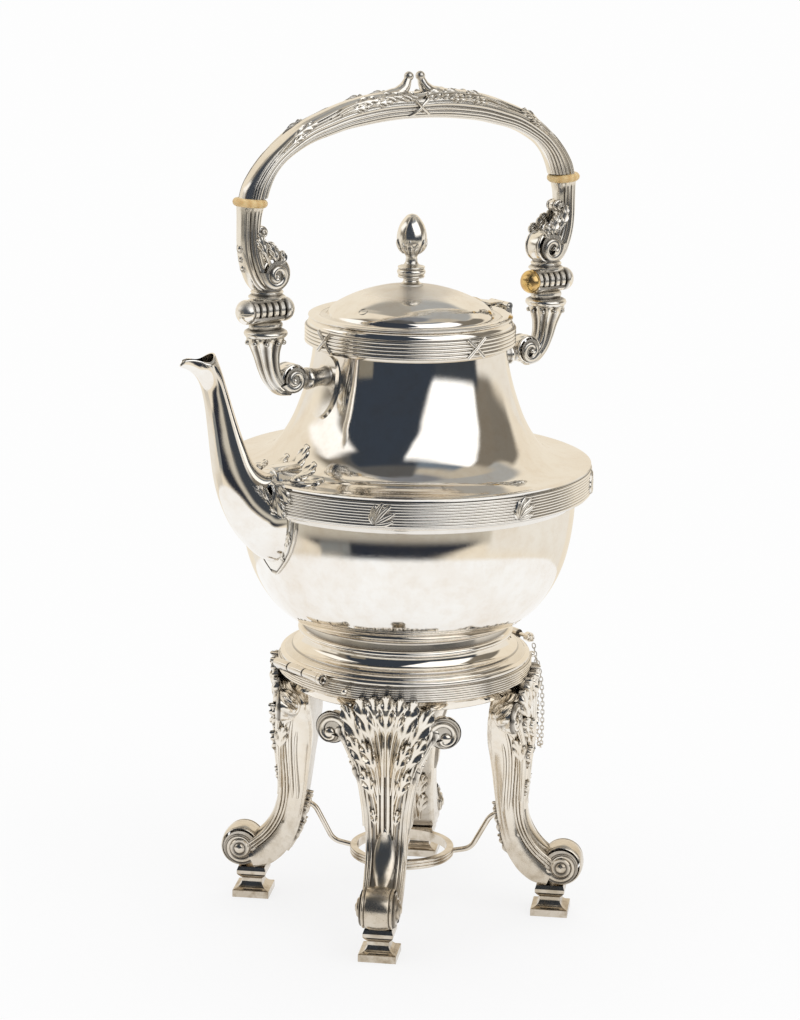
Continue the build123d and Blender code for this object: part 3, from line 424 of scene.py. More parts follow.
def arc(start, middle, end, count=12, cavity=0.0):
    """Circle arc through three (radius, height) points."""
    (ax, ay), (bx, by), (cx, cy) = start, middle, end
    a2, b2, c2 = (x * x + y * y for x, y in (start, middle, end))
    d = 2 * (ax * (by - cy) + bx * (cy - ay) + cx * (ay - by))
    ux = (a2 * (by - cy) + b2 * (cy - ay) + c2 * (ay - by)) / d
    uy = (a2 * (cx - bx) + b2 * (ax - cx) + c2 * (bx - ax)) / d
    r = hypot(ax - ux, ay - uy)
    a, b, c = (atan2(y - uy, x - ux) for x, y in (start, middle, end))
    turn = (c - a) % (2 * pi)
    if (b - a) % (2 * pi) > turn:
        turn -= 2 * pi
    angles = (a + turn * k / count for k in range(count + 1))
    return [(ux + r * cos(t), uy + r * sin(t), cavity) for t in angles]


# -------------------- carved leaves and scrolls
SUNK = -0.3  # height of an ornament's edge, just inside its surface


def strip(mesh, host, spine, half, height, cavity):
    """Ribbon along a spine on a surface, with half width, height and cavity at each point."""
    run = heading(spine)
    side = np.stack([-run[:, 1], run[:, 0]], 1)
    t = np.linspace(-1, 1, height.shape[1])
    mesh.relief(host, spine[:, None] + side[:, None] * (t * half)[..., None], height, cavity)


def petal(mesh, host, axis, half, rise, lift, shade):
    """One lobe of a leaf: crowned, with a fold down its middle and a tip that stands up."""
    s = np.linspace(0, 1, len(axis))[:, None]
    t = across(9)
    away = np.abs(t)
    fold = 0.4 * groove(t, 0, 0.24) * np.sin(pi * s) ** 0.5
    height = rise * ((1 - away ** 2.2) * np.sin(pi * (0.15 + 0.85 * s)) ** 0.4 - fold)
    height = height + lift * s ** 1.6 * (1 - 0.45 * away ** 2)
    height = np.where(away > 0.99, -0.4 + 0.5 * lift * s ** 2, height)
    height[0] = SUNK
    dark = clamp(fold * 1.1 + 0.9 * step(away, 0.7, 1.0) + 0.6 * (1 - step(s, 0, 0.35)))
    strip(mesh, host, axis, half[:, None], height, shade * dark)


def rib(mesh, host, spine, count, half, rise):
    """Rounded rib along a line on a surface."""
    t = across(7)
    taper = clamp(np.sin(pi * np.linspace(0.02, 0.98, count)) * 2.2)[:, None] ** 0.5
    height = rise * vault(t) * taper
    height[:, [0, -1]] = SUNK
    strip(mesh, host, smooth(spine, count), half * taper, height, 0.6 * (np.abs(t) > 0.6))


def frond(mesh, host, spine, width, lobes, rise, lift, side=0, shade=0.6):
    """Finger of acanthus: a lined stalk that opens into slanting lobes with curling tips."""
    spine = smooth(spine, 120)
    gone = run_length(spine)[:, None]
    total = gone[-1, 0]
    head = max(total - 3.3 * lobes, 0.12 * total)
    h = clamp((gone - head) / (total - head))
    open_up = step(h, 0.0, 0.30)
    stalk = width * (0.40 + 0.32 * gone / total)
    full = lobes * 0.86 * np.clip(1.002 - np.abs(2 * h - 0.92) ** 2.6 / 1.25, 0.02, 1) ** 0.6
    half = stalk + (full - stalk) * open_up
    t = across(27)
    away = np.abs(t)
    wave = np.abs(np.sin(pi * ((gone - head) - 1.9 * away * half) / (1.30 * lobes) + 0.9))
    ridge = 1 + (wave ** 0.7 - 1) * open_up * step(away, 0.05, 0.45)
    half = half * np.where(t * side > 0, 0.80, 1.0) * (1 - 0.34 * open_up * (1 - ridge))
    crown = 1 - away ** (2.2 + 3.0 * open_up)
    lines = 0.45 * groove(away, 0.42, 0.13) * (1 - open_up)
    height = rise * (crown * (0.30 + 0.80 * ridge) - lines) + lift * h ** 2 * crown
    height = height + 0.7 * rise * open_up * ridge * bell(away, 0.80, 0.3)
    height = np.where(away > 0.99, -0.5 + 0.4 * lift * h ** 2, height)
    dark = shade * (1.3 * (1 - ridge) ** 1.3 + 1.2 * lines + step(away, 0.88, 1.0))
    strip(mesh, host, spine, half, height, clamp(dark))


def fronds(mesh, host, table, side, *look):
    """Fronds from rows of (path, sizes); side mirrors them and look ends each call."""
    for path, *sizes in table:
        frond(mesh, host, mirrored(path, side), *sizes, *look)


def volute(mesh, place, start, end, turns, first, rise, wall, drift=(0, 0), lines=True):
    """Spiral band round a button, over a fluted bulb where the wall is deep.

    place turns (across, up, out) into a point."""
    s = np.linspace(0, 1, int(56 * turns))
    angle = radians(first) - 2 * pi * turns * s
    centre = start + (end - start) * s ** 0.85
    half = np.clip(np.abs(pi * np.gradient(centre, angle)), 0.5, None)
    s, angle = s[:, None], angle[:, None]
    t = np.linspace(-1, 1, 13)
    profile = rise * vault(t, 2.6)
    dark = clamp(np.abs(t) * 1.5 - 0.6)
    if lines:
        profile = profile - 0.42 * rise * groove(t, 0.38, 0.13)
        dark = dark + 0.8 * groove(t, 0.38, 0.16)
    skirt = min(wall, 1.6)
    r = centre[:, None] + half[:, None] * t
    r = np.hstack([r, r[:, -1:]])
    height = np.hstack([profile + 0.9 * s * rise, 0 * s - skirt])
    mesh.grid(place(r * np.cos(angle) + drift[0] * s, r * np.sin(angle) + drift[1] * s, height),
              np.append(dark, 0.2))
    dome(mesh, place, drift, end * 0.9, rise * 1.9, rise * 0.8)
    disc(mesh, place, [(0.01, rise * 0.6, 0.35), (start, rise * 0.6, 0.35)], 40)
    if wall > skirt:
        back, turn = np.linspace(0, 1, 18)[:, None], sweep(73)
        vein = 1 - np.abs(np.sin(3.5 * (turn + 1.1 * back)))
        r = (start + 0.5) * np.sqrt(1 - (0.985 * back) ** 2.6)
        r = r - vein ** 1.5 * np.sin(pi * back) ** 0.6
        mesh.grid(place(r * np.cos(turn), r * np.sin(turn), 0.3 - wall * back),
                  0.7 * vein ** 2 * np.sin(pi * back))


def disc(mesh, place, rings, count, middle=(0, 0)):
    """Round patch through rings of (radius, height, cavity)."""
    r, height, dark = np.array(rings, float).T[..., None]
    turn = sweep(count)
    mesh.grid(place(middle[0] + r * np.cos(turn), middle[1] + r * np.sin(turn), height), dark)


def dome(mesh, place, middle, radius, height, base=0.0):
    """Small round boss."""
    rings = [(radius * cos(t), base + (height - base) * sin(t), 0.35 * cos(t) ** 4)
             for t in np.linspace(0, pi / 2, 7)]
    disc(mesh, place, rings, 20, middle)


def ball(mesh, spot, radius, sides=14):
    tilt = np.linspace(-pi / 2, pi / 2, 9)
    mesh.lathe([(radius * cos(t), radius * sin(t), 0.3) for t in tilt], sides, spot)


# -------------------- legs
LEG_ROWS = [  # x, z of the front; x, z of the back; half width
    (66.3, 121, 47, 121, 15.0), (66.3, 117, 46.5, 117, 20.8), (66.4, 112, 46, 112, 23.8),
    (66.4, 104, 45.2, 104, 21.0), (66.4, 96, 45, 95, 16.9), (65.9, 87, 45.8, 87, 13.8),
    (65.2, 78, 47, 78, 12), (64.4, 68, 48.1, 68.5, 10.7), (64.2, 60, 49.1, 60.6, 10.2),
    (64.9, 53, 50.4, 52, 9.9), (66.9, 46.3, 52, 44, 9.7), (70.2, 40.2, 54.4, 36, 9.6),
    (74, 35.8, 58.3, 28.5, 9.5), (77.4, 33, 63, 22.6, 9.4), (79.8, 31.2, 69, 18.4, 9.4),
    (81.5, 29.5, 76, 16.7, 9.4),
]
LEG_TOP = [(65.6, 140), (65.8, 124)]  # x, z of the front above those rows
LEG_UNDERSIDE = [(60.4, 25.0), (58.3, 28.5), (54.4, 36), (52, 44), (50.4, 52), (49.1, 60.6)]
LEG_FIELD = 1.1  # depth of the field between the edge reeds
EDGE_REEDS = 3.55  # width of the reeds along each edge
SIDE_REEDS = 5.3  # depth of the reeds down each side
RIM_ROUND = 66.4  # radius that the leg's front follows
FOOT_SCROLL = (83.7, 27.2)  # x, z
FOOT_RADIUS, FOOT_HALF = 10.6, 7.7
FOOT_BUTTON = [  # radius, height and cavity of the rings in the middle
    (5.0, 0.6, 0.8), (4.9, 2.2, 0.1), (4.4, 2.7, 0.0), (3.4, 2.6, 0.5), (2.9, 2.4, 0.9),
    (2.6, 3.0, 0.2), (1.6, 3.7, 0.0), (0.01, 3.9, 0.0)]
VOLUTE_PLACE = (59.4, 28.0, 111.6) # x, y, z of the volutes beside each leg's top
VOLUTE_LEAN = radians(14)
LEG_TURNS = {"front_right": 135, "front_left": 225, "rear_left": 315, "rear_right": 45}
TOP_FRONDS = [  # path of (y, z), width, lobes, rise, lift
    (((3.4, 77), (8.4, 97), (14.5, 111), (21.5, 124.6)), 3.6, 7.0, 1.4, 1.3),
    (((3.9, 75), (8.2, 90), (12.8, 100), (18.6, 109.5)), 3.2, 5.8, 1.5, 1.1),
    (((2.4, 80), (5.6, 102), (9.4, 116), (13.4, 129.2)), 3.6, 7.2, 1.6, 1.5),
    (((3.4, 84), (5.2, 93), (7.8, 100), (11.0, 107.0)), 2.6, 5.0, 2.2, 1.2),
    (((4.4, 69), (6.2, 79), (8.2, 86), (11.0, 92.5)), 2.6, 4.6, 1.9, 1.1),
    (((4.4, 56), (4.7, 62), (5.2, 67), (6.0, 72)), 1.5, 2.8, 1.5, 0.7),
    (((1.0, 84), (2.6, 104), (4.8, 118), (6.8, 130.2)), 3.0, 6.0, 2.0, 1.5),
]
LEG_RIBS = [  # path of (y, z), points, half width, rise
    (((1.3, 56), (1.4, 72), (1.2, 112)), 50, 1.3, 2.2),
    (((3.6, 58), (3.5, 72), (4.8, 98)), 40, 1.1, 1.7)]
FLANK_FRONDS = [  # path of (distance behind the front, z), width, lobes
    (((1.4, 62), (1.8, 76), (2.6, 88), (4.6, 98)), 2.0, 4.4),
    (((3.2, 78), (4.2, 92), (6.0, 104), (9.5, 114)), 2.0, 5.2),
    (((1.6, 92), (2.2, 102), (3.0, 110), (3.4, 118)), 2.0, 4.2),
]


def rim_fall(y):
    """How far the rim's round falls back at a distance from the leg's middle."""
    return RIM_ROUND - chord(RIM_ROUND, y)


def leg_front(place):
    """Point and direction on the leg's front for (y, z)."""
    y, z = place[..., 0], place[..., 1]
    line = np.vstack([LEG_TOP, smooth(LEG_ROWS, 160)[:, :2]])
    x, above, below = (np.interp(-at, -line[:, 1], line[:, 0]) for at in (z, z + 1, z - 1))
    return (xyz(x - LEG_FIELD * 0.8 - rim_fall(y), y, z),
            unit(xyz(1, y / RIM_ROUND, (below - above) / 2)))


def leg_flank(side):
    """Surface of one side of the leg for (distance behind the front, height)."""
    rows = smooth(LEG_ROWS, 160)

    def host(place):
        u, z = place[..., 0], place[..., 1]
        x, half, above, below = (np.interp(-at, -rows[:, 1], rows[:, k])
                                 for at, k in ((z, 0), (z, 4), (z + 1, 4), (z - 1, 4)))
        return xyz(x - rim_fall(half) - u, side * half, z), unit(xyz(0, side, (below - above) / 2))
    return host


def leg_back(place):
    """Point and direction on the leg's underside for (y, distance up from the foot)."""
    x, z, dx, dz = follow(smooth(LEG_UNDERSIDE, 60), place[..., 1])
    return xyz(x, place[..., 0], z), unit(xyz(-dz, 0, dx))


def leg_body(mesh):
    """The leg's shaft: reeded edges, hollow field with a long panel, lined sides, plain back."""
    rows = smooth(LEG_ROWS, 130)
    front, back, half = rows[:, 0:2], rows[:, 2:4], rows[:, 4:5]
    out = unit(front - back)
    deep = np.linalg.norm(front - back, axis=1)[:, None]

    def place(base, rise, y):
        point = base[:, None] + out[:, None] * rise[..., None]
        return xyz(point[..., 0], y, point[..., 1])

    y = half * across(53)
    inside = half - np.abs(y)
    panel_half = 5.7 * np.sin(pi * np.clip((62.5 - front[:, 1:]) / 31.0, 0.001, 0.999)) ** 0.6
    panel = vault(y / panel_half) * step(panel_half, 0.3, 1.6)
    edge = bead(inside, 0.95, 0.95) - 0.95 + bead(inside, 2.75, 0.85) * (inside > 1.9)
    edge = edge * step(inside, -1, 0.02)
    relief = np.where(inside > EDGE_REEDS, 1.9 * panel * (inside > 3.6) - LEG_FIELD, edge)
    shade = 0.55 + 0.45 * step(4.6 - inside, 0, 1) - 0.75 * panel
    dark = np.where(inside > EDGE_REEDS, shade, 0.15) + 0.8 * bell(inside, 1.9, 0.35)

    down = np.concatenate([np.linspace(0, 0.36, 27)[1:], np.linspace(0.42, 0.9, 6),
                           [0.94, 0.97, 1.0]])
    fall = rim_fall(y)
    away = down * (deep - fall[:, -1:])
    reeded = bead(away, 1.0, 0.9) + bead(away, 2.8, 0.75) + bead(away, 4.4, 0.7) - 0.9
    swell = 0.9 * np.sin(pi * clamp((away - SIDE_REEDS) / np.maximum(deep - 9.0, 1)))
    swell = swell - 0.15 - 1.2 * step(down, 0.9, 1.0)
    side = half + np.where(away > SIDE_REEDS, swell, reeded)
    lines = sum(level * bell(away, at, width) for at, level, width in (
        (1.95, 0.7, 0.35), (3.65, 0.7, 0.35), (5.2, 0.6, 0.4)))

    wall = place(front, -(away + fall[:, -1:]), side)
    rear_y = np.linspace(1, -1, 11)[1:-1] * (half - 1.3)
    rear = place(back, -0.5 * (1 - (rear_y / half) ** 2), rear_y)
    loop = np.hstack([place(front, relief - fall, y), wall, rear, wall[:, ::-1] * (1, -1, 1)])
    mesh.tube(loop, np.hstack([dark, lines, 0.3 + 0 * rear_y, lines[:, ::-1]]))
    mesh.fan(loop[0], 0.6)


def foot_scroll(mesh):
    """The rolled foot: a barrel with reeded ends and a spiral on each side."""
    x0, z0 = FOOT_SCROLL
    y = np.linspace(-FOOT_HALF, FOOT_HALF, 61)
    inside = FOOT_HALF - np.abs(y)
    swell = 1.3 * vault(y / 6.6) * step(inside, 1.4, 1.9)
    r = FOOT_RADIUS - 1.1 + bead(inside, 0.7, 0.65) + swell
    turn = sweep(72).T
    mesh.grid(xyz(x0 + r * np.cos(turn), y, z0 + r * np.sin(turn)), 0.9 * bell(inside, 1.5, 0.5))
    for side in (1, -1):
        def place(u, v, h):
            return xyz(x0 - u, side * (FOOT_HALF + 0.2 + h), z0 + v)
        volute(mesh, place, start=8.7, end=2.6, turns=1.7, first=0, rise=1.1, wall=1.0)
        disc(mesh, place, FOOT_BUTTON, 33)


def top_volutes(mesh):
    """The scrolls that the leg's edges roll into, one each side, each on a fluted bulb."""
    x, y, z = VOLUTE_PLACE
    c, s = cos(VOLUTE_LEAN), sin(VOLUTE_LEAN)
    for side in (1, -1):
        def place(u, v, h):
            return xyz(x + h * c - u * s * 0.9, side * (y + u + h * s), z + v)
        volute(mesh, place, start=7.7, end=3.0, turns=1.05, first=215, rise=1.5, wall=10.5,
               drift=(0.8, -2.6))


def leg_leaves(mesh):
    """Plume of acanthus over each leg's top, its stalks running down to the waist."""
    for side in (1, -1):
        fronds(mesh, leg_front, TOP_FRONDS, side, side, 0.55)
        for path, *sizes in LEG_RIBS:
            rib(mesh, leg_front, mirrored(path, side), *sizes)
        flank = leg_flank(side)
        fronds(mesh, flank, FLANK_FRONDS, 1, 1.3, 0.6, 0, 0.7)
        for back, top in ((7.6, 104), (10.4, 96)):
            rib(mesh, flank, [(back + 1.2, top), (back, 84), (back - 0.4, 70), (back, 56)],
                40, 1.1, 1.9)
        for up, lobes in ((21, 4.6), (9, 4.2)):
            path = [(1.5, up - 9), (2.2, up - 2), (3.4, up + 5), (4.6, up + 10)]
            frond(mesh, leg_back, mirrored(path, side), 2.4, lobes, 1.3, 0.8, side, 0.8)
    frond(mesh, leg_front, [(0, 90), (0, 106), (0, 120), (0, 131.6)], 3.0, 6.6, 2.6, 1.5, 0, 0.55)
    frond(mesh, leg_back, [(0, 2), (0, 14), (0, 26), (0, 35)], 3.0, 5.0, 1.6, 1.0, 0, 0.8)


def legs():
    one = Mesh()
    for shape in (leg_body, foot_scroll, top_volutes, leg_leaves):
        shape(one)
    for side, turn in LEG_TURNS.items():
        c, s = cos(radians(turn)), sin(radians(turn))
        leg = one.turned([(c, -s, 0), (s, c, 0), (0, 0, 1)])
        leg.build("cast_leg_" + side, "stand", "silver_cast", "leg_" + side)


# -------------------- bail handle
GRIP_OUTLINE = [  # outer x, z and inner x, z from a ring to the middle
    (102, 374, 88.3, 374), (100.4, 379.3, 86.6, 378.6), (96.4, 385.4, 84, 384),
    (89.6, 393, 79.5, 389.2), (78.6, 401.8, 71, 394.6), (66.8, 408.8, 61.5, 398.7),
    (55, 413.3, 51, 401.4), (42.5, 417.1, 40, 403.8), (33, 419.0, 31, 405),
    (21, 420.4, 20, 406.2), (10, 420.6, 10, 406.8), (0, 420.0, 0, 407),
]
GRIP_HALF_WIDTH = 6.0
GRIP_REEDS = (-78, 12)  # degrees round the grip, where 90 is its spine
REED_PITCH = 18  # degrees
DEGREES_PER_MM = 7.5  # round the grip's side
GRIP_FRONDS = [  # path of (distance from the bail's middle, up), width, lobes
    (((90, 2.6), (80, 4.4), (71, 4.9), (62, 4.2)), 2.2, 4.0),
    (((84, 2.0), (78, 2.4), (70, 2.2)), 2.2, 2.6),
    (((54, 3.2), (44, 5.0), (34, 5.3), (26, 4.4)), 2.2, 4.1),
    (((48, 2.4), (40, 2.8), (32, 2.4)), 2.2, 2.8),
    (((40, 3.4), (30, 5.0), (20, 5.4), (12, 4.5)), 2.2, 4.2),
    (((34, 2.6), (26, 3.0), (19, 2.6)), 2.2, 2.8),
    (((26, 3.6), (17, 5.0), (9, 5.3), (2.5, 4.4)), 2.2, 4.0),
]
CREST_NECK = [(25, 417.3), (15, 418.4), (9.4, 419.8), (6.2, 422.2), (4.6, 425.0), (3.8, 427.4)]


def grip_surface():
    """Surface of the grip for (distance from the bail's middle, angle round it), and its rows."""
    half = np.array(GRIP_OUTLINE, float)
    rows = smooth(np.vstack([half, half[-2::-1] * (-1, 1, -1, 1)]), 170)
    outer, inner = rows[:, 0:2], rows[:, 2:4]
    middle = (outer + inner) / 2
    tall = np.linalg.norm(outer - inner, axis=1) / 2
    length = run_length(middle)
    length = length - length[-1] / 2
    out = unit(outer - inner)

    def host(place, side=1):
        x, z, h, ox, oz = (np.interp(place[..., 0], length, v) for v in (*middle.T, tall, *out.T))
        a = np.radians(place[..., 1])
        c, s = np.cos(a), np.sin(a)
        up = h * np.sign(s) * np.abs(s) ** 0.9
        y = GRIP_HALF_WIDTH * np.sign(c) * np.abs(c) ** 0.82
        return xyz(x + ox * up, side * -y, z + oz * up), unit(xyz(ox * s, side * -c, oz * s))

    return host, length


def grip(mesh):
    """The bail's grip: reeded below, with acanthus, ribs and a ribbon along each side."""
    surface, length = grip_surface()
    low, high = GRIP_REEDS
    around = np.concatenate([np.linspace(-90, high, 75), np.linspace(15, 90, 18)])
    place = np.stack(np.meshgrid(length, around, indexing="ij"), -1)
    reeded = step(high - place[..., 1], 0, 8) * step(place[..., 1] - low, 0, 8)
    wave = np.abs(np.sin(pi * (place[..., 1] - low) / REED_PITCH))
    for side in (1, -1):
        mesh.relief(lambda place: surface(place, side), place, 0.55 * reeded * (wave - 1),
                    reeded * (1 - wave) ** 1.5)

    for side in (1, -1):
        def flat(place):
            return surface(place * (1, DEGREES_PER_MM), side)
        for end in (1, -1):
            fronds(mesh, flat, GRIP_FRONDS, end, 1.1, 0.6, 0, 0.75)
            for low, high in ((2.2, 2.6), (3.7, 4.4), (5.2, 6.2)):
                near = ((68, low), (58, low), (46, high))
                far = ((119, low * 0.9), (100, low * 0.9), (82, low))
                rib(mesh, flat, mirrored(near, end), 30, 0.8, 1.0)
                rib(mesh, flat, mirrored(far, end), 40, 0.75, 0.8)
        for lean in (1, -1):
            rib(mesh, flat, [(lean * -6.5, -6.0), (0, -0.5), (lean * 6.5, 5.0)], 24, 1.0, 1.1)


def crest(mesh):
    """Two necks that rise from the bail's spine and end in balls."""
    s = np.linspace(0, 1, 50)[:, None]
    thick = np.interp(s, (0, 0.45, 0.72, 0.88, 1), (2.6, 3.4, 3.1, 2.3, 1.6))
    turn = 2 * pi * np.arange(28) / 28
    for side in (1, -1):
        path = smooth(mirrored(CREST_NECK, side), 50)
        x, z, dx, dz = np.hstack([path, heading(path)]).T[..., None]
        flat, aside = thick * np.cos(turn), thick * np.sin(turn)
        mesh.tube(xyz(x - flat * dz, aside, z + flat * dx), 0.2 * s ** 3)
        ball(mesh, (side * 3.5, 0, 427.55), 2.4, 28)


def handle():
    for shape, name in ((grip, "grip"), (crest, "crest")):
        made = Mesh()
        shape(made)
        made.build("bail_" + name, "handle", "silver_cast", "handle_" + name)


# -------------------- bail's arms and hinges
BAIL_AXIS = 319.5  # height of the hinge line
BAIL_HINGE = 88.0  # kettle axis to the middle of each hinge
BARREL_LENGTH, BARREL_RADIUS = 18.6, 5.0
BARREL_KNUCKLES, KNUCKLE_GAP = 5, 0.8
KNUCKLE_BORE = 1.7
CASING_HALF = {1: 34, -1: 55}  # degrees to each side, above and below: together under 90
CASING_LINE = [  # place along the barrel, radius
    (-0.1, 4.2), (0.0, 5.2), (0.5, 5.9), (1.4, 6.2), (17.2, 6.2), (18.1, 5.9), (18.6, 5.2),
    (18.7, 4.2)]
CAP_RADIUS = 6.0
ARM_ROWS = [  # x, z, half in the plane, half across
    (97.0, 370.6, 6.7, 5.9), (97.5, 366, 6.0, 5.6), (97.8, 360, 5.7, 5.4),
    (97.8, 353.5, 5.6, 5.5), (97.0, 347, 5.7, 5.8), (94.9, 340.5, 6.0, 6.0),
    (91.6, 334.8, 6.0, 6.2), (87.6, 331.4, 5.0, 6.0)]
ARM_DRUMS = [  # x and z, radius, half width, eye, first angle, turns, rise, drift
    ((85.4, 337.4), 8.5, 5.6, 1.5, 10, 1.35, 1.7, (0.9, -0.8)),
    ((92.0, 357.8), 3.2, 3.4, 0.9, 60, 1.2, 0.9)]
BRACKET_DRUM = ((73.6, 285.2), 7.3, 4.8, 1.5, -20, 1.25, 1.2, (0.8, -0.6))
ARM_FOOT = [  # radius, height over the barrel, cavity
    (0, 1.0), (6.6, 1.0), (8.2, 0.6, 0.2), (9.0, 1.3), (9.0, 1.9), (8.2, 2.6, 0.4),
    (7.4, 2.9, 0.8), (7.6, 3.4), (8.0, 4.0), (7.6, 4.7), (6.8, 5.1, 0.8), (6.6, 6.5, 0.3),
    (7.0, 8.5)]
ARM_BOSSES = [  # x, z, radius
    (102.7, 350.6, 2.2), (102.3, 345.6, 1.7), (101.0, 341.2, 2.0), (98.7, 336.9, 1.6),
    (96.2, 333.3, 1.5)]
BOSS_RIM = [(1.35, -1.2), (1.3, -0.3), (1.1, 0.2), (0.85, 0.25), (0.7, -0.05)]
ARM_FRONDS = [  # path of (x, z), width, lobes
    ([(88.6, 339.0), (90.0, 344), (93.0, 350.5), (95.6, 358)], 1.9, 3.57),
    ([(86.6, 341.0), (86.0, 344.5), (87.4, 349.0), (90.4, 353.4)], 1.9, 3.4),
    ([(84.6, 341.0), (82.6, 343), (82.0, 345.6), (83.4, 348.8)], 1.9, 2.72)]
BRACKET_ROWS = [  # x from the hinge's middle, z, half in the plane, half across
    (-0.2, 307.0, 8.8, 8.8), (-0.4, 303.0, 8.0, 8.0), (-1.0, 297.5, 6.4, 6.4),
    (-2.2, 291.5, 5.4, 5.6), (-4.8, 285.6, 4.8, 5.2), (-9.0, 281.4, 4.4, 5.0),
    (-14.0, 279.8, 3.6, 4.8)]
BRACKET_STUB = [  # radius, x, cavity of the turned arm from the neck
    (0, 49.5), (4.6, 49.5), (5.2, 51.5, 0.3), (4.7, 52.5, 0.9), (4.4, 55, 0.4), (4.5, 58, 0.2),
    (4.9, 60.5, 0.5), (5.2, 61.5, 0.8), (5.5, 62.5), (5.5, 63.5), (5.0, 64.4, 0.4), (4.0, 65, 0.8),
    (4, 68), (0, 68)]
STUB_HEIGHT = 283.6
BRACKET_TOP = 306.4  # height of the collar's seat over the flutes
BRACKET_COLLAR = [  # radius, height over its seat, cavity
    (0, -0.4), (7.2, -0.4, 0.8), (8.4, 0, 0.6), (9.6, 0.4, 0.2), (10.4, 1.3), (10.6, 2.2),
    (10.2, 3.2, 0.1), (9.2, 3.8, 0.6), (8.6, 4.0, 0.8), (0, 4.0, 0.8)]
BRACKET_WAIST = [
    (8.2, 3.9, 0.9), (8.5, 4.2, 0.7), (8.9, 4.8, 0.2), (9.2, 5.6, 0.0), (9.0, 6.6, 0.2),
    (7.6, 7.3, 0.5), (0.01, 7.6, 0.8)]
WAIST_NARROW = 0.62  # the waist's width over its length: it clears the bail's arm
FLUTES = 9


def swept(mesh, rows, relief, sides):
    """Tube with an oval section through rows of (x, z, half in the plane, half across)."""
    path = rows[:, :2]
    dx, dz = heading(path).T[..., None]
    angle = 2 * pi * np.arange(sides) / sides
    c, s = np.cos(angle), np.sin(angle)
    lift = relief(np.linspace(0, 1, len(rows))[:, None], angle[None, :])
    plane = (rows[:, 2:3] + lift) * np.sign(c) * np.abs(c) ** 0.9
    aside = (rows[:, 3:4] + lift) * np.sign(s) * np.abs(s) ** 0.9
    points = xyz(path[:, :1] + dz * plane, aside, path[:, 1:] - dx * plane)
    mesh.tube(points, clamp(-lift * 1.4))
    for end in (0, -1):
        mesh.fan(points[end], 0.3)


def drum(mesh, centre, radius, half, eye, first, turns, rise, drift=(0, 0)):
    """Roll across the bail's plane: a swelling barrel with a spiral on each end."""
    x0, z0 = centre
    y = np.linspace(-half, half, 45)
    inside = half - np.abs(y)
    r = radius - 0.9 + bead(inside, 0.8, 0.8) + 0.9 * vault(y / (half - 1.4)) * (inside > 2.0)
    line = np.stack([r, y, 0.9 * bell(inside, 1.75, 0.5)], 1)
    mesh.lathe(line.tolist(), 64, (x0, 0, z0), "y")
    for side in (1, -1):
        def place(u, v, h):
            return xyz(x0 + u, side * (half + 0.1 + h), z0 + v)
        volute(mesh, place, radius * 0.78, eye, turns, first, rise, 1.2, drift, lines=False)


def knuckles(mesh, first, towards):
    """Every second knuckle of a bail hinge, and the casing that holds them on one side."""
    pitch = BARREL_LENGTH / BARREL_KNUCKLES
    start = BAIL_HINGE - BARREL_LENGTH / 2
    r = BARREL_RADIUS
    # painted shade in the gaps between the knuckles
    end = [(KNUCKLE_BORE, 0, 0.9), (r - 1.2, 0, 0.9), (r - 0.4, 0.1, 0.6), (r, 0.5, 0)]
    for i in range(first, BARREL_KNUCKLES, 2):
        low = start + i * pitch + KNUCKLE_GAP / 2
        high = low + pitch - KNUCKLE_GAP
        mesh.lathe([(a, low + b, dark) for a, b, dark in end]
                   + [(a, high - b, dark) for a, b, dark in end[::-1]], 48, (0, 0, BAIL_AXIS), "x")
    along, swell = np.array(CASING_LINE).T[..., None]
    half = radians(CASING_HALF[towards])
    turn = half * across(25)
    swell = swell * np.where(np.abs(turn) > 0.98 * half, 0.82, 1.0)
    mesh.grid(xyz(start + along, swell * np.sin(turn), BAIL_AXIS + towards * swell * np.cos(turn)),
              0.5 * (np.abs(turn) > 0.9 * half))


def cap(mesh, outward):
    """Ball that closes a bail hinge at one end."""
    x, r = BAIL_HINGE + outward * BARREL_LENGTH / 2, CAP_RADIUS
    line = [(0, x), (r - 0.4, x, 0.8), (r - 0.1, x + outward * 0.6, 0.5)]
    line += [(r * cos(t), x + outward * (1.4 + 0.86 * r * sin(t)))
             for t in np.linspace(0, pi / 2, 12)]
    mesh.lathe(line, 48, (0, 0, BAIL_AXIS), "x")


def arm(mesh):
    """Bail arm from the insulating ring down to its hinge, on the +X side."""
    def bands(s, angle):
        """Reeds along each face of the strap, with a groove between each two."""
        face = bell(np.abs(np.sin(angle)), 1.0, 0.75)
        lines = sum(bell(np.cos(angle), at, 0.085) for at in (-0.72, -0.40, -0.08, 0.24, 0.56))
        return -0.75 * lines * face * step(s, 0.02, 0.08)

    swept(mesh, smooth(ARM_ROWS, 90), bands, 120)
    for scroll in ARM_DRUMS:
        drum(mesh, *scroll)
    mesh.lathe(ARM_FOOT, 64, (BAIL_HINGE - 1.0, 0, BAIL_AXIS + BARREL_RADIUS))
    arm_leaves(mesh)
    for spot in ARM_BOSSES:
        rosette(mesh, *spot)
    knuckles(mesh, 1, 1)


def rosette(mesh, x, z, radius):
    """Small boss with a rim on the bail's outer edge."""
    def place(u, v, h):
        return xyz(x + h, u, z + v)
    disc(mesh, place, [(radius * r, radius * h, 0.5) for r, h in BOSS_RIM], 17)
    dome(mesh, place, (0, 0), radius * 0.72, radius * 0.7, -0.1)


def arm_leaves(mesh):
    """Low acanthus on each face of the arm above its scroll."""
    for side in (1, -1):
        def face(place):
            u, v = place[..., 0], place[..., 1]
            fall = 0.10 * np.clip(v - 346, 0, 20) + 0.10 * np.clip(u - 95, 0, 9) ** 1.5
            return xyz(u, side * (5.9 - fall), v), np.array((0, side, 0))
        fronds(mesh, face, ARM_FRONDS, 1, 0.8, 0.1, 0, 0.45)


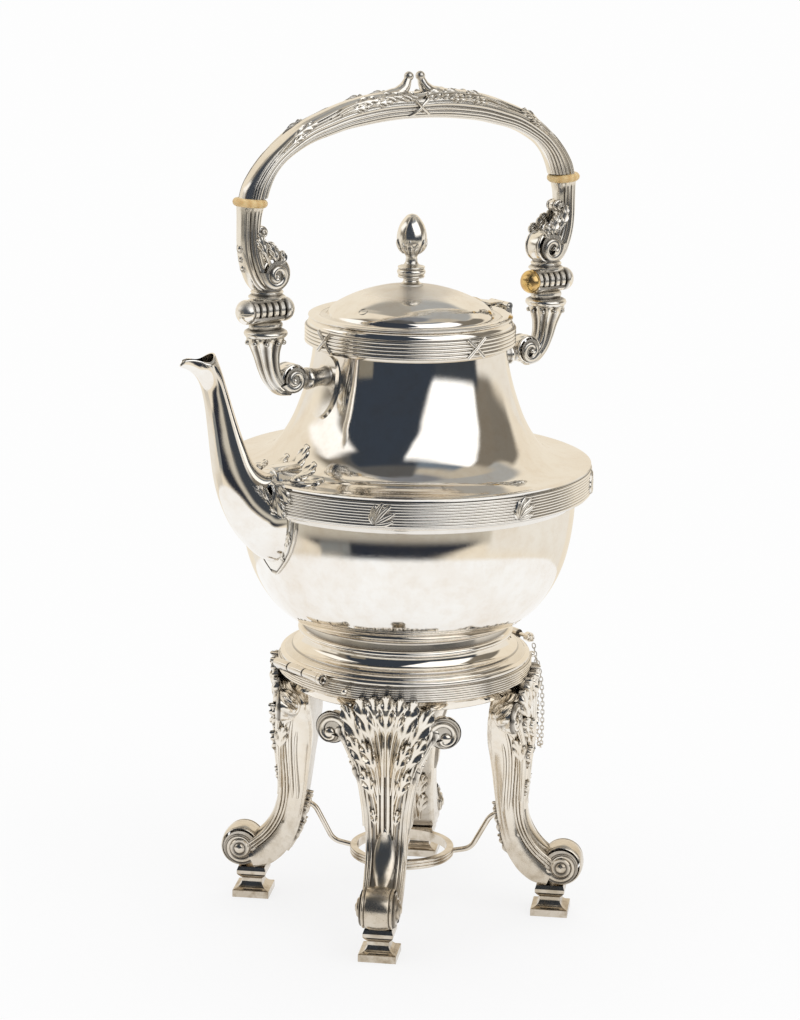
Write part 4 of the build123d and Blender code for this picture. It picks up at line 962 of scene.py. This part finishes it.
def bracket(mesh):
    """Bracket on the kettle's neck up to the fixed knuckles, on the +X side."""
    def flutes(s, angle):
        wave = np.abs(np.sin(angle * FLUTES / 2 + 0.3))
        flute = -0.9 * (1 - wave) ** 0.8 + 0.5 * bell(s, 0.05, 0.14) * wave ** 0.7
        return flute * (0.35 + 0.65 * step(1 - s, 0.2, 0.7))

    swept(mesh, smooth(np.array(BRACKET_ROWS) + (BAIL_HINGE, 0, 0, 0), 70), flutes, 90)
    drum(mesh, *BRACKET_DRUM)
    mesh.lathe(BRACKET_STUB, 48, (0, 0, STUB_HEIGHT), "x")
    x = BAIL_HINGE - 0.4
    mesh.lathe(BRACKET_COLLAR, 64, (x, 0, BRACKET_TOP))
    disc(mesh, lambda u, v, h: xyz(x + u, WAIST_NARROW * v, BRACKET_TOP + h), BRACKET_WAIST, 49)
    for k in range(FLUTES):
        a = 2 * pi * (k + 0.5) / FLUTES
        ball(mesh, (x + 0.2 + 8.9 * cos(a), 8.9 * sin(a), BRACKET_TOP - 2.2), 1.25)
    knuckles(mesh, 0, -1)


def bail_arms():
    for end, mirror, inner_slot in (("rear", 1, "gilt"), ("front", -1, "silver_plain")):
        for name, body, slot, node, shape, *more in (
                ("hinge_cap_inner_", "kettle", inner_slot, "bail_cap_inner_", cap, -1),
                ("hinge_cap_outer_", "kettle", "silver_plain", "bail_cap_outer_", cap, 1),
                ("bail_arm_", "handle", "silver_cast", "handle_arm_", arm),
                ("bail_bracket_", "kettle", "silver_cast", "handle_bracket_", bracket)):
            made = Mesh()
            shape(made, *more)
            made.turned(np.diag([mirror, 1, 1])).build(name + end, body, slot, node + end)


# -------------------- turned work
BOWL_RADIUS = 84.6
BOWL_LINE = [
    (0, 150.2), (30, 150.4), (46, 151.4), (54, 154), (60, 157.4), (66, 162.4), (71.5, 169),
    (76, 176.5), (79.7, 185.5), (82.3, 196), (84, 208.5), (BOWL_RADIUS, 221.5),
]
SHOULDER_LINE = [
    (90.6, 236.8), (82, 237), (75.5, 238.2), (70.6, 240.6), (66.4, 244.4), (62.4, 249.8),
    (58.4, 257), (55, 265.5), (51.8, 275.5), (49.4, 286), (48.2, 296), (48.2, 308.2),
]
DOME_LINE = [
    (0, 324.6), (6, 324.4), (14, 323.4), (22, 321.4), (29.5, 318.7), (35, 316), (38.8, 313.6),
    (40.8, 311.4), (41.4, 309.9),
]
WALL, LID_WALL = 1.2, 1.4
GIRDLE = 91.9  # radius under the reeds
GIRDLE_GAP = 15.5 / GIRDLE  # half the girdle's opening for the spout, in radians
NECK_REEDS = 52.0  # radius under the reeds
RIM_REEDS = 64.0
SPOUT_TURN = pi  # the spout's side of the kettle
VENT_TURN, VENT_REACH = radians(193), 38.0
VENT_RING = [  # radius, height, cavity
    (0.01, 0.06, 1.0), (1.05, 0.06, 1.0), (1.1, 0.35, 0.8), (1.4, 0.6, 0.1), (1.9, 0.5, 0.0),
    (2.2, 0.1, 0.3), (2.25, -0.3, 0.6)]
BUD_LINE = [
    (3.9, 340.4), (5.6, 341.9), (7.0, 344.4), (7.5, 347.4), (7.2, 350.6), (6.1, 354.2),
    (4.3, 357.2), (2.1, 359.4), (0, 360.0)]
CALYX_LINE = [(3.8, 340.2), (5.7, 341.9), (7.1, 344.4), (7.6, 347.4), (7.5, 350)]
CALYX_LEAVES = 12


def on_turned(line, reference, middle):
    """Turned surface for (arc length at a reference radius, distance along its line)."""
    line = np.array(line, float)

    def host(place):
        angle = middle + place[..., 0] / reference
        r, z, dr, dz = follow(line, place[..., 1])
        c, s = np.cos(angle), np.sin(angle)
        return xyz(r * c, r * s, z), unit(xyz(dz * c, dz * s, -dr))
    return host


def above(host):
    """Place over a surface for (across, up, out)."""
    def place(u, v, h):
        u, v, h = np.broadcast_arrays(u, v, h)
        point, out = host(xyz(u, v))
        return point + out * h[..., None]
    return place


def inside_of(line, wall, rise):
    """The inner side of a wall, from the end of its line back to the start."""
    return [(max(r - wall, 0), z + rise) for r, z in line][::-1]


def kettle_body():
    """Bowl, shoulder and neck as one raised shell, with its inside."""
    line = smooth(BOWL_LINE, 110).tolist() + [(BOWL_RADIUS, 235.2), (91.8, 235.4), (92.0, 236.2)]
    line += smooth(SHOULDER_LINE, 120).tolist() + [(48.0, 308.4), (47.2, 308.4)]
    line += inside_of(smooth(SHOULDER_LINE[3:], 50), WALL, 0) + [(83.2, 234.5)]
    line += inside_of(smooth(BOWL_LINE, 50), WALL, 0.8)
    Mesh().lathe(line, 360).build(
        "raised_body", "kettle", "silver_body", "kettle_bowl", "kettle_shoulder", sharp=50)


def girdle():
    """Reeded moulding round the seam, open where the spout stands."""
    line = [(BOWL_RADIUS, 217.6), (85.2, 217.7, 0.5)]
    line += arc((85.6, 217.9), (87.4, 220.4), (90.6, 221.3), 10, 0.1)
    line += [(91.5, 221.6), (91.9, 222.2, 0.4)] + reeds(GIRDLE, 222.3, 234.6, 9, 0.62)
    line += [(91.9, 235.0, 0.5), (91.7, 235.5), (BOWL_RADIUS, 235.5)]
    Mesh().lathe(line, 420, start=SPOUT_TURN + GIRDLE_GAP, turn=2 * pi - 2 * GIRDLE_GAP).build(
        "reeded_girdle", "kettle", "silver_plain", "girdle_band", sharp=60)


def neck_moulding():
    line = [(48.0, 293.6), (49.4, 294.2, 0.4), (50.6, 295.0), (51.6, 295.7, 0.2)]
    line += reeds(NECK_REEDS, 296.0, 304.8, 5, 0.75, 10) + [(52.0, 305.0, 0.7), (51.5, 305.3, 0.3)]
    line += arc((51.3, 305.4), (50.9, 306.9), (49.8, 308.2), 8) + [(48, 308.4)]
    Mesh().lathe(line, 360).build("reeded_neck", "kettle", "silver_plain", "neck_band", sharp=60)


def kettle_foot():
    line = [(61.0, 135.0), (63.3, 135.0, 0.6), (63.6, 135.4, 0.2), (63.6, 136.6)]
    line += arc((63.6, 136.6), (62.6, 137.6), (61.4, 137.7), 8)
    line += arc((61.4, 137.8), (60.2, 139.1), (58.0, 139.6), 8, 0.1)
    line += [(57.6, 139.8, 0.6), (57.3, 140.6, 0.3)]
    line += arc((57.2, 140.6), (53.6, 143.2), (52.9, 146.9), 14) + [(52.8, 147.2, 0.6)]
    line += arc((52.9, 147.3), (54.7, 148.7), (53.0, 150.2), 10)
    line += [(52.2, 150.6, 0.7), (52.0, 154.0), (50.0, 154.0), (50.0, 144.0), (55.0, 139.0),
             (61.0, 136.0), (61.0, 135.0)]
    Mesh().lathe(line, 300).build("turned_foot", "kettle", "silver_plain", "kettle_foot", sharp=60)


def stand_rim():
    line = [(57.0, 121.4), (59.2, 121.4, 0.4), (59.8, 121.9)]
    line += arc((59.8, 122.0), (61.0, 125.4), (63.6, 127.0), 10) + [(63.9, 127.3, 0.5)]
    line += reeds(RIM_REEDS, 127.4, 134.4, 6, 0.68, 9)
    line += [(63.9, 134.6, 0.4), (63.4, 135.0), (57.6, 135.0), (57.0, 134.6), (57.0, 121.4)]
    Mesh().lathe(line, 320).build("reeded_rim", "stand", "silver_plain", "stand_rim", sharp=60)


def lid():
    """Lid with its crowned dome, flange and the hollow side, and the ring of its vent."""
    outer = smooth(DOME_LINE, 90)
    line = outer.tolist() + arc((41.4, 309.9), (42.2, 309.3), (44.6, 309.2), 8, 0.15)
    line += [(45.0, 309.4, 0.4)] + arc((45.0, 309.5), (47.6, 310.6), (50.2, 309.9))
    line += arc((50.3, 309.8), (51.0, 309.3), (50.6, 308.7), 6)
    line += [(46.3, 308.7), (45.1, 308.7), (41.0, 309.0)]
    line += inside_of(smooth(DOME_LINE[:-1], 40), LID_WALL, -WALL)
    Mesh().lathe(line, 320).build("crowned_lid", "lid", "silver_body", "lid_dome", sharp=50)
    vent = Mesh()
    disc(vent, above(on_turned(outer, 36.0, VENT_TURN)), VENT_RING, 33, (0, VENT_REACH))
    vent.build("vent_ring", "lid", "silver_plain", "lid_vent_eyelet")


def finial():
    """Bud in a leaf calyx on a turned stem."""
    line = [(0, 323.9), (5.9, 323.9, 0.5), (6.2, 324.3), (5.9, 325.0)]
    line += arc((5.8, 325.1), (4.3, 325.9), (3.8, 327.4), 8, 0.1)
    line += [(4.0, 327.9, 0.8), (5.8, 328.2, 0.3)]
    line += arc((6.2, 328.3), (6.7, 328.9), (6.2, 329.5), 6) + [(6.0, 329.7, 0.9)]
    line += arc((6.5, 329.8), (7.1, 331.1), (6.5, 332.4), 8) + [(6.1, 332.6, 0.9)]
    line += arc((6.3, 332.8), (6.8, 333.4), (6.0, 333.9), 6)
    line += arc((5.6, 334.0), (3.5, 335.2), (2.9, 337.2), 8, 0.2)
    line += [(2.8, 338.6), (3.2, 339.4, 0.3), (3.8, 340.2, 0.8)]
    made = Mesh().lathe(line + smooth(BUD_LINE, 50).tolist(), 96)
    cup = smooth(CALYX_LINE, 30)
    v = np.linspace(0, 1, 16)
    half = 2.0 * np.sin(pi * (0.22 + 0.76 * v)) ** 0.8 + 0.03
    for k in range(CALYX_LEAVES):
        tall, rise = (8.6, 0.75) if k % 2 else (7.0, 0.55)
        host = on_turned(cup, 7.2, 2 * pi * (k + 0.5) / CALYX_LEAVES)
        petal(made, host, xyz(0, 0.2 + tall * v), half, rise, 0.3, 0.9)
    made.build("leafed_finial", "lid", "silver_cast", "finial", sharp=45)


# -------------------- tilting hinge
TILT_LINE = (67.3, 136.4)  # reach, z of the tilting hinge and of the lock opposite
SMALL_BARREL = 2.3
KNUCKLE_END = [(0.5, 0, 1), (0.86, 0, 1), (0.96, 0.2, 0.9), (1, 0.7, 0.1)]  # share, inset, cavity
KETTLE_FOOT_RADIUS, STAND_RIM_RADIUS = 62.4, 64.5
SMALL_KNUCKLES = [  # name, body, side, spans along Y
    ("front_hinge_stand_knuckles", "stand", -1, [(-18.5, -6.5), (6.5, 18.5)]),
    ("front_hinge_kettle_knuckle", "kettle", -1, [(-6.2, 6.2)]),
    ("rear_lock_stand_knuckle", "stand", 1, [(-10.0, -0.3)]),
    ("rear_lock_kettle_knuckle", "kettle", 1, [(0.3, 8.0)]),
]
PIN_LINE = [  # radius, y, cavity
    (0.01, -21.0, 1), (0.8, -21.0, 1), (1.0, -21.6, 0.4), (1.7, -21.8), (2.0, -21.3, 1),
    (2.3, -21.6, 0.5), (2.7, -21.5), (2.88, -21.0, 0.1), (2.88, -19.4, 0.1), (2.6, -18.75, 1),
    (1.0, -18.74, 1), (1.0, 18.3, 0.5), (0.01, 18.4)]


def small_knuckle(mesh, side, low, high, on_kettle):
    """Knuckle along Y with softened ends and a web on to the rim or the kettle's foot."""
    reach, z = TILT_LINE
    ends = [(r, low + y, dark) for r, y, dark in KNUCKLE_END]
    ends += [(r, high - y, dark) for r, y, dark in KNUCKLE_END[::-1]]
    r, y, dark = np.array(ends).T[..., None]
    r, turn = SMALL_BARREL * r, sweep(33)
    mesh.grid(xyz(side * (reach + r * np.cos(turn)), y, z + r * np.sin(turn)), dark)
    y = np.linspace(low + 0.2, high - 0.2, 12)
    foot, rim = chord(KETTLE_FOOT_RADIUS, y), chord(STAND_RIM_RADIUS, y)
    if on_kettle:
        edges = [(reach - 1.6, 1.4), (reach - 3.0, 0.9), (foot - 0.4, 0.6), (foot - 0.4, -0.6),
                 (reach - 1.8, -0.7)]
    else:
        edges = [(reach + 1.7, -1.2), (reach - 0.2, -3.4), (rim + 0.2, -5.0), (rim - 0.5, -1.8),
                 (reach - 2, -1.5)]
    web = np.stack([xyz(side * x, y, z + up) for x, up in edges], 1)
    mesh.grid(web, 0.25)
    for end in (web[0], web[-1]):
        mesh.grid(np.stack([end, 0 * end + end.mean(0)]), 0.5)


def tilt_hinge():
    """Two knuckles of the stand and one of the kettle in front, one of each behind."""
    for name, body, side, spans in SMALL_KNUCKLES:
        made = Mesh()
        for span in spans:
            small_knuckle(made, side, *span, body == "kettle")
        made.build(name.replace("knuckle", "barrel"), body, "silver_plain", name)
    reach, z = TILT_LINE
    Mesh().lathe(PIN_LINE, 40, (-reach, 0, z), "y").build(
        "front_pin_turned", "front_pin", "silver_plain", "front_hinge_pin")


# -------------------- spout and applied leaves
SPOUT_LINE = [  # x, z, lean of the run, half width in the plane and across
    (-70.0, 217.0, 180, 26.0, 17.0), (-83.0, 218.5, 178, 24.0, 15.5),
    (-92.0, 223.0, 160, 19.0, 13.0), (-100.0, 231.0, 140, 14.2, 11.0),
    (-105.8, 241.5, 122, 11.0, 9.6), (-109.6, 254.0, 109, 8.8, 8.4),
    (-112.6, 266.0, 104, 7.3, 7.3), (-115.6, 278.0, 104, 6.2, 6.4),
    (-119.0, 289.0, 111, 6.0, 5.7), (-124.4, 298.4, 126, 7.6, 5.0),
    (-130.4, 304.4, 139, 9.9, 4.2),
]
SPOUT_WALL, SPOUT_SIDES, SPOUT_COUNT = 0.9, 96, 130
LIP = (-136.7, 299.2)  # x, z of the pouring edge
LIP_START, LIP_HEIGHTS = -126.5, (284.0, 298.5)  # where the spout narrows to its lip
MOUTH_MIDDLE, MOUTH_DIP = -122.5, 3.4  # the mouth's sides sag between lip and back
MOUTH_RISE = 0.12  # the mouth rises towards the kettle
SHIELD_WIDTHS = [  # z, half width
    (187.2, 0.05), (188.2, 2.4), (190, 4.8), (193, 8.2), (197, 12.0), (202, 15.6), (208, 18.2),
    (214, 19.4), (218, 19.6), (221.4, 19.5)]
SHIELD_FRONDS = [  # path of (across, z), width, lobes
    ([(16.5, 221), (15.6, 215), (14.6, 210), (12.8, 205)], 1.2, 2.6),
    ([(12.4, 206), (10.6, 203), (9.4, 199.5), (9.6, 196.5)], 1.2, 1.8)]
SHOULDER_FRONDS = [  # path of (across, up the shoulder), width, lobes
    ([(3, 1), (8, 10), (12, 18), (14, 26)], 3.6, 7.0),
    ([(8, 0), (16, 6), (22, 11), (27, 17)], 3.4, 6.4)]
GIRDLE_FRONDS = [  # path of (across, up the girdle), width, lobes
    ([(12.5, 22), (15, 17), (17.6, 12), (20.6, 7)], 2.8, 5.2),
    ([(13, 24), (17.6, 21.6), (21, 18.6), (24, 15)], 2.6, 4.6)]
CLASP_LEAVES = [  # tip across and up, bend, half width
    (-5.4, 8.0, -1.6, 1.5), (-3.4, 12.0, -1.8, 1.7), (0.4, 13.4, -1.6, 1.8),
    (4.0, 12.2, -1.0, 1.8), (6.0, 8.6, -0.2, 1.8), (5.6, 4.6, 0.8, 1.7)]
TIE_RADIUS = 52.75


def spout_skin(shrink):
    """Columns up the spout, each cut where it meets the slanting mouth."""
    rows = smooth(SPOUT_LINE, 170)
    lean = np.radians(rows[:, 2:3])
    angle = 2 * pi * np.arange(SPOUT_SIDES) / SPOUT_SIDES
    plane = (rows[:, 3:4] - shrink) * np.cos(angle)
    y = (rows[:, 4:5] - shrink) * np.sin(angle)
    x = rows[:, :1] - plane * np.sin(lean)
    z = rows[:, 1:2] + plane * np.cos(lean)
    dip = MOUTH_DIP * clamp(np.abs(y) / 5) ** 2 * bell(x, MOUTH_MIDDLE, 11)
    over = z - (LIP[1] + MOUTH_RISE * (x - LIP[0]) - dip)
    points = np.zeros((SPOUT_COUNT, SPOUT_SIDES, 3))
    for k, height in enumerate(over.T):
        end = np.argmax(height > 0) if (height > 0).any() else len(rows) - 1
        part = height[end - 1] / (height[end - 1] - height[end]) if end else 0
        at = np.linspace(0, end - 1 + part, SPOUT_COUNT)
        for axis, values in enumerate((x, y, z)):
            points[:, k, axis] = np.interp(at, np.arange(len(rows)), values[:, k])
    front = clamp(-(points[..., 0] - LIP_START) / 10.0)
    near = step(points[..., 2], *LIP_HEIGHTS)
    points[..., 1] *= 1 - 0.62 * near * front ** 0.8
    points[..., 1] *= 1 + 0.30 * near * bell(points[..., 0], -124.0, 8.0)
    return points


def spout():
    outer, inner = spout_skin(0.0), spout_skin(SPOUT_WALL)[60:]
    edge = (outer[-1] + inner[-1]) / 2 + (0, 0, 0.35)
    made = Mesh().tube(outer, 0.0).tube(np.stack([outer[-1], edge, inner[-1]]), 0.0)
    # painted shade, deepening into the spout's inside
    made.tube(inner, clamp(3 * np.linspace(1, 0, len(inner)))[:, None])
    made.build("drawn_spout", "kettle", "silver_body", "spout", sharp=60)


def shield():
    """Pointed plate under the spout's root, with a raised edge and a chased scroll."""
    made = Mesh()
    line = smooth(BOWL_LINE, 200)
    host = on_turned(line, 82.0, SPOUT_TURN)

    def bowl(place):
        """The bowl for (across, height)."""
        return host(xyz(place[..., 0], np.interp(place[..., 1], line[:, 1], run_length(line))))

    def raised(place):
        point, out = bowl(place)
        return point + out * 1.5, out

    z = np.concatenate([np.linspace(187.2, 196, 22), np.linspace(196.4, 221.4, 40)])[:, None]
    half = np.interp(z, *np.transpose(SHIELD_WIDTHS))
    t = np.sin(np.linspace(-pi / 2, pi / 2, 61))
    inside = np.minimum(half * (1 - np.abs(t)), (z - 187.0) * 0.8)
    cut, line_in = 1 - step(inside, 0, 0.5), inside - 2.1
    height = 1.25 - 0.55 * bell(line_in, 0, 0.8) - 1.6 * cut + 0.5 * step(inside, 3, 9)
    made.relief(bowl, xyz(half * t, z), height, 0.8 * bell(line_in, 0, 0.9) + 0.7 * cut)
    for side in (1, -1):
        fronds(made, raised, SHIELD_FRONDS, side, 0.35, 0.1, side, 0.5)
    made.build("chased_shield", "kettle", "silver_cast", "spout_shield")


def root_leaf():
    """Acanthus that spreads over the shoulder behind the spout and wraps the girdle's ends."""
    made = Mesh()
    top = on_turned(smooth(SHOULDER_LINE[:8], 120), 80.0, SPOUT_TURN)
    edge = on_turned([(92.6, 214.0), (92.6, 238.0)], 92.0, SPOUT_TURN)
    frond(made, top, [(0, -1), (0, 12), (0, 24), (0, 34)], 4.2, 7.0, 0.7, 0.0, 0, 0.3)
    for side in (1, -1):
        fronds(made, top, SHOULDER_FRONDS, side, 0.65, 0.0, side, 0.3)
        fronds(made, edge, GIRDLE_FRONDS, side, 0.8, 0.1, side, 0.4)

        def boss(u, v, h):
            return above(top)(side * (16.5 + u), 8.5 + v, h)
        dome(made, boss, (0, 0), 2.6, 3.2, 0.4)
        volute(made, boss, start=3.4, end=1.6, turns=1.0, first=0, rise=1.5, wall=0.6, lines=False)
    made.build("applied_leaf", "kettle", "silver_cast", "spout_leaf")


def girdle_clasps():
    """Small fan of leaves over the reeds at every eighth of a turn but the spout's."""
    made = Mesh()
    v = np.linspace(0, 1, 14)
    wide = np.sin(pi * (0.10 + 0.84 * v)) ** 0.7
    for turn in (0, 1, 2, 3, 5, 6, 7):
        host = on_turned([(GIRDLE + 0.4, 221.0), (GIRDLE + 0.4, 238.0)], GIRDLE, turn * pi / 4)
        for y, z, bend, half in CLASP_LEAVES:
            middle = ((y - 3.8) / 2 + bend * 0.4, (z + 2.6) / 2 - bend * 0.5)
            axis = smooth([(-3.8, 2.6), middle, (y, z)], 14)
            petal(made, host, axis, half * wide + 0.05, 1.1, 0.5, 0.7)
    made.build("leaf_clasps", "kettle", "silver_cast", "girdle_leaves")


def ribbon_ties():
    """Crossed ribbons over the neck's reeds."""
    made = Mesh()
    t = across(9)
    fold = bell(t, 0, 0.5)
    for angle in (90, 180, 270):
        host = on_turned([(TIE_RADIUS, 294.6), (TIE_RADIUS, 306.6)], TIE_RADIUS, radians(angle))
        for side in (1, -1):
            path = smooth([(-side * 5.2, 1.2), (0, 6.0), (side * 5.2, 10.8)], 24)
            height = 0.9 * np.clip(1.4 - np.abs(t) ** 4 * 1.8, -1, 1) - 0.35 * fold
            height = np.repeat(height + 0.25 * (side > 0), len(path), 0)
            strip(made, host, path, 0.95, height, 0.7 * fold + 0.5 * (np.abs(t) > 0.8))
    made.build("crossed_ribbons", "kettle", "silver_cast", "neck_ribbon_ties")


# -------------------- studio
PAPER = (0.86, 0.82, 0.75, 1)
WHITE = (0.985, 0.985, 0.985, 1)
ROOM = (0.88, 0.80, 0.67, 1)  # where no area lies over it
ROOM_AREAS = [  # aside from, to, height from, to, softness in degrees, colour
    (-104, 106, -14, 62, 8, (0.21, 0.185, 0.15, 1)),  # the walls
    (-150, -78, -24, 3, 3, PAPER),  # white paper to each side
    (58, 150, -24, 3, 3, PAPER),
    (-95, 300, 53, 300, 4, (0.42, 0.40, 0.36, 1)),  # ceiling
    (100, 300, 40, 300, 3, (0.40, 0.40, 0.39, 1)),
    (-300, -150, 44, 300, 3, (0.40, 0.38, 0.34, 1)),
    (-300, 300, 76, 300, 4, (0.22, 0.23, 0.25, 1)),
    (6, 112, 50, 74, 5, (0.52, 0.47, 0.39, 1)),  # ceiling over the window
    (-78, 14, 40, 84, 6, (0.10, 0.10, 0.10, 1)),
    (-67, 38, -11, 60, 4, (0.038, 0.048, 0.066, 1)),  # dark end of the room
    (96, 124, 6, 38, 4, (0.20, 0.18, 0.15, 1)),
    (12, 70, 50, 64, 6, (0.17, 0.21, 0.26, 1)),  # glow over the window
    (-90, 60, -20, -10.5, 2, (0.60, 0.56, 0.48, 1)),  # ground in front of the table
    (-112, -60, -70, -26, 6, (0.66, 0.62, 0.55, 1)),
    (-61, -43, -9, 7, 1.2, (0.24, 0.22, 0.18, 1)),  # far window
    (30, 84, -12, 9, 3, (0.05, 0.058, 0.07, 1)),
]
LAMPS = [  # name, azimuth, elevation, distance, size, power
    ("key", 48, 52, 1.6, 0.9, 3.6), ("fill", -62, 38, 1.6, 0.9, 1.8),
    ("top", 170, 66, 1.5, 1.0, 2.6)]
TABLE_GLOSS = (0.026, 0.030, 0.042, 1)  # the dark table before the object
TABLE_EDGE = (0.22, 0.23, 0.23, 1)
LEFT_WINDOW = (1.15, 1.13, 1.10, 1)
RIGHT_WINDOW = (1.35, 1.35, 1.35, 1)


def world():
    """White studio: plain for the camera and matt surfaces, and for metal a room with windows."""
    made = bpy.data.worlds.new("studio")
    scene.world = made
    made.use_nodes = True
    n = Nodes(made.node_tree)
    toward = n.add("VectorRotate", n.add("TexCoord").outputs["Generated"],
                   rotation_type="Z_AXIS", Angle=-VIEW_AZIMUTH)
    x, y, z = n.add("SeparateXYZ", toward).outputs
    aside = n.times(n.math("ARCTAN2", x, n.times(y, -1.0)), 180 / pi)
    height = n.times(n.math("ARCSINE", z), 180 / pi)

    def window(value, low, high, soft):
        """1 between two angles, with soft edges."""
        return n.times(n.ease(value, low - soft, low + soft, 0.0, 1.0),
                       n.ease(value, high - soft, high + soft, 1.0, 0.0))

    def area(aside_low, aside_high, height_low, height_high, soft):
        return n.times(window(aside, aside_low, aside_high, soft),
                       window(height, height_low, height_high, soft))

    def leaning(slope):
        return n.times_add(height, slope, aside)

    room = ROOM
    for *place, colour in ROOM_AREAS:
        room = n.mix(area(*place), room, colour)
    off = n.math("ADD", aside, 12.0)
    bowed = n.times_add(n.times(off, off), -0.0027, height)
    table = n.times(window(bowed, -30.0, 300.0, 2.0), area(-86.0, 60.0, -60.0, -18.5, 2.0))
    left = n.times(window(leaning(-0.9), -131.0, -97.0, 4.0), window(height, 13.0, 42.0, 3.0))
    right = n.times(window(leaning(0.7), 33.0, 300.0, 3.0), area(-60.0, 78.0, 8.0, 54.0, 2.5))
    for place, colour in ((table, TABLE_GLOSS), (area(-63.0, -40.0, -26.0, -20.0, 1.5), TABLE_EDGE),
                          (left, LEFT_WINDOW), (right, RIGHT_WINDOW)):
        room = n.mix(place, room, colour)
    ways = n.add("LightPath").outputs
    seen = n.math("MAXIMUM", ways["Is Camera Ray"], ways["Is Transmission Ray"])
    plain = n.add("Background", (1.0, 1.0, 1.0, 1), Strength=0.85)
    lit = n.add("MixShader", ways["Is Glossy Ray"], plain, n.add("Background", room, Strength=1.0))
    white = n.add("Background", WHITE, Strength=1.0)
    n.end(n.add("MixShader", seen, lit, white), "OutputWorld")


def lamp(name, azimuth, elevation, distance, size, power):
    """Square soft lamp aimed at the kettle; azimuth is measured from the camera's side."""
    turn, rise = VIEW_AZIMUTH + radians(azimuth), radians(elevation)
    data = bpy.data.lights.new(name, "AREA")
    data.size = size
    data.energy = power
    lit = bpy.data.objects.new(name, data)
    lit.location = LAMP_TARGET + distance * Vector(
        (cos(rise) * sin(turn), -cos(rise) * cos(turn), sin(rise)))
    lit.rotation_euler = (LAMP_TARGET - lit.location).to_track_quat("-Z", "Y").to_euler()
    lit.visible_glossy = False
    scene.collection.objects.link(lit)


def floor():
    """Pale table that runs out into the white background."""
    bpy.ops.mesh.primitive_circle_add(vertices=96, radius=TABLE_RADIUS, fill_type="NGON")
    table = bpy.context.object
    table.name = "table_top"
    made, n, place = material("table_top")
    reach = n.add("VectorMath", place, operation="LENGTH").outputs["Value"]
    ways = n.add("LightPath").outputs
    fade = n.times(n.ease(reach, 0.10, TABLE_RADIUS - 0.05, 0.80, 1.0),
                   n.math("MAXIMUM", ways["Is Camera Ray"], ways["Is Glossy Ray"]))
    matt = n.add("BsdfDiffuse", (0.93, 0.93, 0.94, 1))
    n.end(n.add("MixShader", fade, matt, n.add("Emission", WHITE, 1.0)))
    table.data.materials.append(made)


camera()
world()
floor()
for lamp_row in LAMPS:
    lamp(*lamp_row)
dress_cad_nodes()
for make in (legs, handle, bail_arms, kettle_body, girdle, neck_moulding, kettle_foot, stand_rim,
             tilt_hinge, lid, finial, spout, shield, root_leaf, girdle_clasps, ribbon_ties):
    make()
